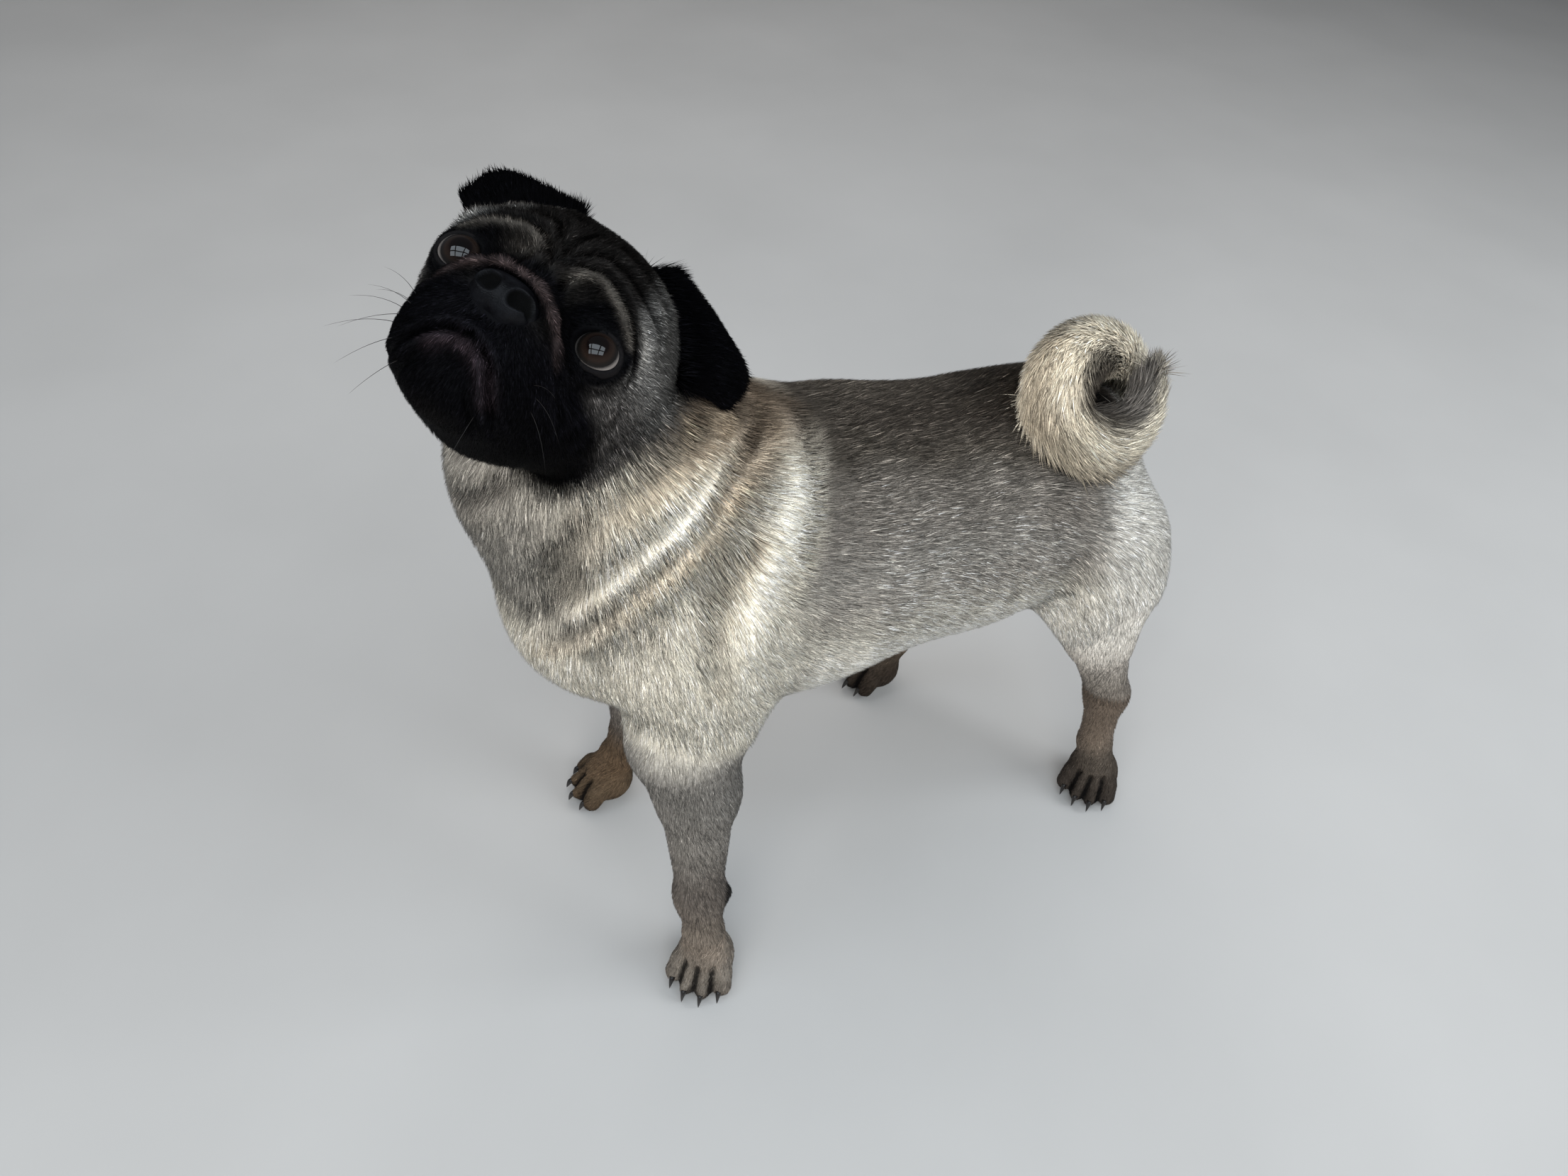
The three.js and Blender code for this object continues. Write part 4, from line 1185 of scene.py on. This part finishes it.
claws = []
for name in FEET:
    for dx, dy in TOES:
        root, tip = on_foot(name, dx, dy - 4.4), on_foot(name, 1.04 * dx, dy - 9.6)
        claws.append(claw([*root, 9.0], [*tip, 0.9]))
claw_horn = horn_look()
piece("claws", joined("claws", claws), claw_horn, "mask_fur")

# Coat: short hairs gathered in thin closed tufts that lie along the body and overlap like tiles.
# A short tuft has a root sunk in the skin, a ridge and a fine tip, and a long one on the tail is
# a spindle. Each piece of coat is one mesh, filled straight from arrays.
rng = np.random.default_rng(11)
skin_mesh.calc_loop_triangles()
triangles = np.zeros(3 * len(skin_mesh.loop_triangles), int)
skin_mesh.loop_triangles.foreach_get("vertices", triangles)
triangles = triangles.reshape(-1, 3)
corner = places[triangles]
areas = 0.5 * np.linalg.norm(np.cross(corner[:, 1] - corner[:, 0], corner[:, 2] - corner[:, 0]), axis=1)
centres = corner.mean(1)
forms = [
    trunk_form, blend(list(leg_forms.values()), 1), blend(list(paw_forms.values()), 1), head_skin, tail_form,
]
ON_TRUNK, ON_LEG, ON_PAW, ON_HEAD, ON_TAIL, ON_EAR, ON_LID = range(7)
owner = np.stack([form(centres) for form in forms], 1).argmin(1)
owner[kinds[triangles[:, 0]] == IS_EAR] = ON_EAR
owner[kinds[triangles[:, 0]] == IS_LID] = ON_LID


def roots(chosen, number):
    """Root places spread evenly by area over the chosen triangles, with their normals and ways."""
    pick = np.flatnonzero(chosen)
    heap = np.cumsum(areas[pick])
    spot = (np.arange(number) + rng.random(number)) / number * heap[-1]
    tri = triangles[pick[np.minimum(np.searchsorted(heap, spot), len(pick) - 1)]]
    u, v = rng.random(number), rng.random(number)
    flip = u + v > 1
    u, v = np.where(flip, 1 - u, u), np.where(flip, 1 - v, v)
    w = np.stack([1 - u - v, u, v], 1)[..., None]
    normal = unit((skin_normals[tri] * w).sum(1))
    return (places[tri] * w).sum(1), normal, (ear_ways[tri] * w).sum(1), kinds[tri[:, 0]]


def lie(p, ear_way, which):
    """The way the hair lies: back along the trunk and down its sides, away from the head on neck
    and chest, down the legs, forward over the paws, back from the nose, along tail and ears."""
    n = len(p)
    if which == "ears":
        return ear_way
    if which == "head":
        q = to_head(p)
        flow = q - [0, -34, -8]
        flow[:, 2] += -6 * smooth(0, -20, q[:, 2])
        return flow @ HEAD_TURN.T
    if which == "tail":
        nearest = np.clip(on_tail_line(p), 1, 78)
        return TAIL_LINE[nearest + 1] - TAIL_LINE[nearest - 1]
    if which == "legs":
        return np.tile([0, 0.12, -1.0], (n, 1))
    if which == "paws":
        a = FOOT_TURNS[own_foot(p)]
        return np.stack([0.8 * np.sin(a), -0.8 * np.cos(a), np.full(n, -0.7)], 1)
    side = np.sign(p[:, 0]) * smooth(10, 50, np.abs(p[:, 0]))
    flow = np.stack([0.05 * side, np.ones(n), -0.1 - 0.45 * smooth(340, 260, p[:, 2])], 1)
    share = smooth(-40, -130, p[:, 1])[:, None]
    flow = flow * (1 - share) + unit(p - HEAD_MIDDLE) * share
    thigh = (smooth(80, 150, p[:, 1]) * smooth(290, 230, p[:, 2]))[:, None]
    return flow * (1 - thigh) + np.array([0, 0.25, -1]) * thigh


def share_of_turn(a, b):
    """An angle as a share of a whole turn."""
    return np.arctan2(a, b) / (2 * np.pi) + 0.5


def unwrap(p, which):
    """A place for each root on a flat map of the skin itself: round and along the piece's line."""
    if which == "head":
        q = to_head(p) - [0, 12, -5]
        u = share_of_turn(q[:, 0], q[:, 2])
        v = np.arccos(np.clip(-unit(q)[:, 1], -1, 1)) / np.pi
    elif which in ("legs", "paws"):
        leg = own_foot(p)
        c = FOOT_MIDDLES[leg]
        u = (share_of_turn(p[:, 0] - c[:, 0] * 0.93, p[:, 1] - c[:, 1]) + leg) / 4
        v = p[:, 2] / 300
    elif which == "tail":
        i = on_tail_line(p)
        d = p - TAIL_LINE[i]
        along = unit(TAIL_LINE[np.clip(i + 1, 0, 79)] - TAIL_LINE[np.clip(i - 1, 0, 79)])
        across = np.cross(along, [0.7, -0.2, 0.6])
        u = share_of_turn((d * across).sum(1), (d * np.cross(along, across)).sum(1))
        v = i / 80
    elif which == "ears":
        q = to_head(p)
        u = (q[:, 0] + 80) / 160
        v = (q[:, 2] - q[:, 1] * 0.5 + 30) / 120
    else:
        u = share_of_turn(p[:, 0], p[:, 2] - 270)
        v = (p[:, 1] + 240) / 460
    return np.clip(np.stack([u, v], 1), 0.002, 0.994)


def over_skin(p):
    """How high points lie over the finished skin: the plain form's distance less its folds."""
    return skin_form(p) - relief(p)


def tufts(p, normal, way, length, width, height, root_colour, tip_colour, flat_place, which):
    """Tufts as arrays. A short one has its two root corners in the skin, a ridge corner over them
    and a tip, four triangles in all. A long one is a spindle of six: root, three belly points at
    0.42 of its length, and tip. Tips stand height over the skin, wherever it bends."""
    t = unit(way - (way * normal).sum(1)[:, None] * normal)
    s = np.cross(normal, t)
    half = 0.5 * width[:, None]
    middle = 0.5 * (root_colour + tip_colour)
    tip = p + length[:, None] * t
    push = height
    if which != "ears":
        push = np.clip(height - over_skin(tip), -0.12 * length, 0.9 * length)
    tip = tip + push[:, None] * normal
    if which == "tail":
        base = p - 0.4 * normal
        belly = base + 0.42 * (tip - base) + 0.07 * length[:, None] * normal
        points = np.stack([base, belly - half * s, belly + half * s, belly + 0.7 * half * normal, tip], 1)
        one = np.array([[0, 1, 3], [0, 3, 2], [0, 2, 1], [4, 3, 1], [4, 2, 3], [4, 1, 2]])
        # The ridge point on each tail tuft's outer side is 6% lighter, a small painted highlight.
        colours = np.stack([root_colour, middle, middle, middle * 1.06, tip_colour], 1)
        patch = 0.003 * np.array([[0, 0.5], [0.42, 0], [0.42, 1], [0.42, 0.5], [1, 0.5]])
    else:
        left, right = p - half * s - 0.15 * normal, p + half * s - 0.15 * normal
        ridge = p + 0.12 * length[:, None] * t + 0.8 * half * normal
        points = np.stack([left, right, ridge, tip], 1)
        one = np.array([[0, 2, 1], [0, 1, 3], [0, 3, 2], [1, 2, 3]])
        colours = np.stack([root_colour, root_colour, middle, tip_colour], 1)
        patch = 0.003 * np.array([[0, 0], [0, 1], [0.12, 0.5], [1, 0.5]])
    points[..., 2] = np.maximum(points[..., 2], FLOOR_GAP)
    faces = (one[None] + points.shape[1] * np.arange(len(p))[:, None, None]).reshape(-1, 3)
    uv = flat_place[:, None] + patch[None]
    return points.reshape(-1, 3), faces, colours.reshape(-1, 3), uv.reshape(-1, 2)


def coat_mesh(name, points, faces, colours, uv):
    """A tuft mesh filled straight from arrays, with its markings and its OFBake map."""
    made = bpy.data.meshes.new(name)
    made.vertices.add(len(points))
    made.vertices.foreach_set("co", metres(points).ravel())
    made.loops.add(faces.size)
    made.loops.foreach_set("vertex_index", faces.ravel())
    made.polygons.add(len(faces))
    made.polygons.foreach_set("loop_start", np.arange(0, faces.size, 3))
    made.update(calc_edges=True)
    layer = made.uv_layers.new(name="OFBake")
    layer.data.foreach_set("uv", uv[faces.ravel()].astype(np.float32).ravel())
    paint(made, colours)
    return made


def coat(name, which, chosen, number, length, width, height, slot, contrast, dark_share, pale_share):
    """Grows one coat piece: roots, lie with a little disorder, and hairs that differ in tone, some
    with dark tips and some pale all along. A size is a number or a function of the place."""
    p, normal, ear_way, kind = roots(chosen, number)
    way = unit(lie(p, ear_way, which))
    disorder = np.stack([wander(p, 7, seed) for seed in (21, 22, 23)], 1)
    way = way + 0.13 * rng.normal(size=way.shape) + 0.1 * disorder
    sizes = []
    for size, least, most in ((length, 0.75, 1.2), (width, 0.7, 1.25), (height, 0.45, 1.15)):
        sizes.append((size(p) if callable(size) else size) * rng.uniform(least, most, number))
    light = np.exp(contrast * rng.normal(size=number))
    draw = rng.random(number)
    light = np.where(draw > 1 - pale_share, light * 2.6, light)
    colour = markings(p, kind)
    tip = colour * (light * np.where(draw < dark_share, 0.45, 1.2))[:, None]
    root = colour * (light * 0.75)[:, None]
    mesh = coat_mesh(name, *tufts(p, normal, way, *sizes, root, tip, unwrap(p, which), which))
    piece(name, mesh, mask_look if which in ("ears", "head") else coat_look, slot)


def leg_length(p):
    """6.5 mm, and 3 mm on the hind legs below the edge of the thigh's hair."""
    return np.where((p[:, 1] > 0) & (p[:, 2] < 107), 3.0, 6.5)


def tail_height(p):
    """7 mm outside and up to 13 mm on the side that looks into the curl."""
    return 7 + 6 * smooth(0.2, 0.8, curl_side(p)[0])


def by_root(p):
    """1 where an ear leaves the skull, 0 from 14 mm away."""
    return smooth(14, 3, head_skin(p))


def ear_length(p):
    return 4.4 + 6 * by_root(p)


def ear_height(p):
    return 1 + 3.2 * by_root(p)


def face_length(p):
    """Hair length over the head: 2 mm on the muzzle and round the eyes to 10 mm behind the cheeks."""
    q = to_head(p)
    pair = np.stack([np.abs(q[:, 0]), q[:, 1], q[:, 2]], 1)
    eye_gap = np.linalg.norm(pair - [30.8, -9, -0.8], axis=1)
    return np.minimum(2.6 + 7.4 * smooth(-14, 28, q[:, 1]), 1.0 + 0.3 * np.maximum(eye_gap - 9, 0))


def face_width(p):
    return 0.2 + 0.035 * face_length(p)


def face_height(p):
    return 0.35 + 0.2 * face_length(p)


coat_look = hair_look("coat_hair", 0.62, 1400.0, 0.1)
mask_look = hair_look("mask_hair", 0.6, 1400.0, 0.03)
x_of, y_of, z_of = centres.T
trunk = owner == ON_TRUNK
neck = trunk & ((y_of + 125) * -0.75 + (z_of - 330) * 0.9 > 0)
chest = trunk & ~neck & (y_of < -48)
rump = trunk & (y_of >= 92)
flank = trunk & ~neck & ~chest & ~rump
local_x, local_y, local_z = to_head(centres).T
eye_hole = (local_y < 6) & (np.hypot((np.abs(local_x) - 30.8) / 9.7, (local_z + 0.8) / 8.5) < 1)
nose_zone = (local_y < -14) & (np.hypot(local_x / 13, (local_z + 10) / 9) < 1)
head = (owner == ON_HEAD) & ~eye_hole & ~nose_zone
front = local_y < 12
face_sizes = (face_length, face_width, face_height)
COATS = [  # name, lie, place, tufts, length, width, height, slot, contrast, and share of dark and pale hairs
    ("flank_coat_left", "trunk", flank & (x_of >= 0), 42000, 9, 0.6, 2.4, "saddle_fur", 0.45, 0.4, 0.07),
    ("flank_coat_right", "trunk", flank & (x_of < 0), 28000, 10.5, 0.8, 2.4, "saddle_fur", 0.45, 0.4, 0.07),
    ("rump_coat", "trunk", rump, 34000, 8.5, 0.62, 2.2, "fawn_fur", 0.32, 0.3, 0.03),
    ("chest_coat", "trunk", chest, 44000, 9.5, 0.6, 2.4, "cream_fur", 0.25, 0.22, 0),
    ("neck_coat", "trunk", neck, 44000, 10.5, 0.6, 2.8, "cream_fur", 0.32, 0.28, 0),
    ("leg_coat", "legs", owner == ON_LEG, 34000, leg_length, 0.52, 1.1, "fawn_fur", 0.28, 0.25, 0),
    ("paw_coat", "paws", (owner == ON_PAW) & (z_of > 2.5), 14000, 3.6, 0.5, 0.8, "mask_fur", 0.3, 0.2, 0),
    ("tail_coat", "tail", owner == ON_TAIL, 20000, 19, 0.95, tail_height, "cream_fur", 0.3, 0.15, 0),
    ("ear_coat", "ears", owner == ON_EAR, 18000, ear_length, 0.5, ear_height, "mask_fur", 0.6, 0, 0.05),
    ("face_coat", "head", head & front, 49000, *face_sizes, "mask_fur", 0.5, 0.3, 0.12),
    ("head_coat", "head", head & ~front, 36000, *face_sizes, "fawn_fur", 0.42, 0.3, 0.06),
]
for row in COATS:
    coat(*row)

# Whiskers: stiff black bristles from the flews and chin, thicker than any hair of the coat. Each
# is a closed thin cone, its root sunk 2 mm, and they are one piece.
WHISKERS = [  # root, way out and length
    [-26, -16, -26, -16, -8, 8, 21], [-28, -12, -31, -22, -3, 0, 23], [-28, -10, -36, -20, -3, -8, 25],
    [-25, -15, -33, -17, -6, -12, 22], [-24, -18, -30, -18, -12, 2, 20], [-22, -16, -42, -12, -8, -18, 20],
    [-28, -9, -27, -22, 2, 6, 22], [-17, -14, -48, -6, -8, -20, 18], [27, -14, -30, 18, -10, -2, 24],
    [28, -11, -34, 20, -8, -8, 24], [25, -17, -28, 14, -14, 6, 20], [16, -14, -48, 6, -10, -20, 18],
]


def whisker(x, y, z, wx, wy, wz, length, rows=9):
    """A three-sided cone along an arc that sags: start + way t + sag t^2, its radius from 0.16
    down to a fifth of that and then to the tip."""
    t = np.linspace(0, 1, rows)[:, None]
    way = unit(np.array([wx, wy, wz], float))
    line = np.array([x, y, z], float) - 2 * way + length * (way * t + np.array([0, 0.3, -0.32]) * t**2)
    around = np.array([0, 2 * np.pi / 3, 4 * np.pi / 3])[:, None]
    side = unit(np.cross(way, [0, 1, 0.2]))
    ring = np.cos(around) * side + np.sin(around) * np.cross(side, way)
    points = (line[:-1, None] + 0.16 * (1 - 0.8 * t[:-1, None]) * ring).reshape(-1, 3)
    index, faces = sleeve(rows - 1, 3)
    return from_head(np.vstack([points, line[-1]])), faces + [index[0, ::-1]] + fan(index.size, index[-1])


piece("whiskers", joined("whiskers", [whisker(*row) for row in WHISKERS]), claw_horn, "mask_fur")

# Floor, lights and camera: a pale studio floor, a window of six panes that also shows in the
# eyes, three large soft lights, and the photographed angle.
def floor_look():
    """Plain pale studio board with a very faint mottle."""
    made, shader = material("studio_floor")
    feed(shader, "Base Color", ramp(noise(3.0, 4.0), (0.3, (0.37, 0.37, 0.37)), (0.7, (0.405, 0.405, 0.405))))
    feed(shader, "Roughness", 0.8)
    return made


floor_mesh = bpy.data.meshes.new("floor")
floor_mesh.from_pydata([(-4, -4, 0), (4, -4, 0), (4, 4, 0), (-4, 4, 0)], [], [(0, 1, 2, 3)])
floor_mesh.materials.append(floor_look())
floor = bpy.data.objects.new("floor", floor_mesh)
bpy.context.scene.collection.objects.link(floor)


def facing(place, target):
    """A matrix at place whose -Z looks at target, upright."""
    place = np.array(place, float)
    back = unit(place - target)
    right = unit(np.cross([0, 0, 1], back))
    m = np.eye(4)
    m[:3, 0], m[:3, 1], m[:3, 2], m[:3, 3] = right, np.cross(back, right), back, place
    return m


def area_light(name, place, target, size, power, colour, mirrored=False):
    """A rectangular soft light that faces a target. Only a mirrored one shows in the eyes."""
    light = bpy.data.lights.new(name, "AREA")
    light.shape = "RECTANGLE"
    light.size, light.size_y = size
    light.energy = power
    light.color = colour
    lamp = bpy.data.objects.new(name, light)
    bpy.context.scene.collection.objects.link(lamp)
    lamp.matrix_world = Matrix(facing(place, target).tolist())
    lamp.visible_glossy = mirrored


window = facing([0.57, -0.60, 1.85], [0.02, -0.18, 0.46])
PANE_PITCH, PANE_SIZE = (1.08, 0.88), (0.92, 0.70)
for column in (-1, 0, 1):
    for row in (-0.5, 0.5):
        place = window[:3, 3] + PANE_PITCH[0] * column * window[:3, 0] + PANE_PITCH[1] * row * window[:3, 1]
        area_light("window_pane", place, place - window[:3, 2], PANE_SIZE, 6.2, (0.82, 0.92, 1.0), True)
area_light("side_light", (1.2, 1.5, 1.2), (0, 0, 0.2), (1.4, 1.2), 36, (0.94, 0.98, 1.0))
area_light("over_light", (-1.0, 0.3, 2.0), (-0.2, 0.1, 0.1), (2.4, 2.4), 28, (1, 0.95, 0.90))
area_light("front_light", (1.7, -1.5, 0.6), (0, -0.05, 0.25), (1.6, 0.9), 64, (1, 0.97, 0.92))
world = bpy.data.worlds.new("studio")
bpy.context.scene.world = world
world.use_nodes = True
background = world.node_tree.nodes["Background"]
background.inputs["Color"].default_value = (0.9, 0.93, 1.0, 1)
background.inputs["Strength"].default_value = 0.07  # low, or it shows as a grey disc in the eyes
bpy.context.scene.view_settings.view_transform = "Standard"

LENS, SENSOR = 25.05, 36
VIEWPOINT = np.array([361.1, -287.6, 672.6])
RIGHT = np.array([0.4874, 0.8705, 0.0688])
UP = np.array([-0.6415, 0.3035, 0.7045])
BACK = np.array([0.5924, -0.3876, 0.7063])
lens = bpy.data.cameras.new("camera")
lens.lens, lens.sensor_width = LENS, SENSOR
lens.clip_start = 0.01
camera = bpy.data.objects.new("camera", lens)
bpy.context.scene.collection.objects.link(camera)
pose = np.eye(4)
pose[:3, 0], pose[:3, 1], pose[:3, 2], pose[:3, 3] = RIGHT, UP, BACK, metres(VIEWPOINT)
camera.matrix_world = Matrix(pose.tolist())
bpy.context.scene.camera = camera
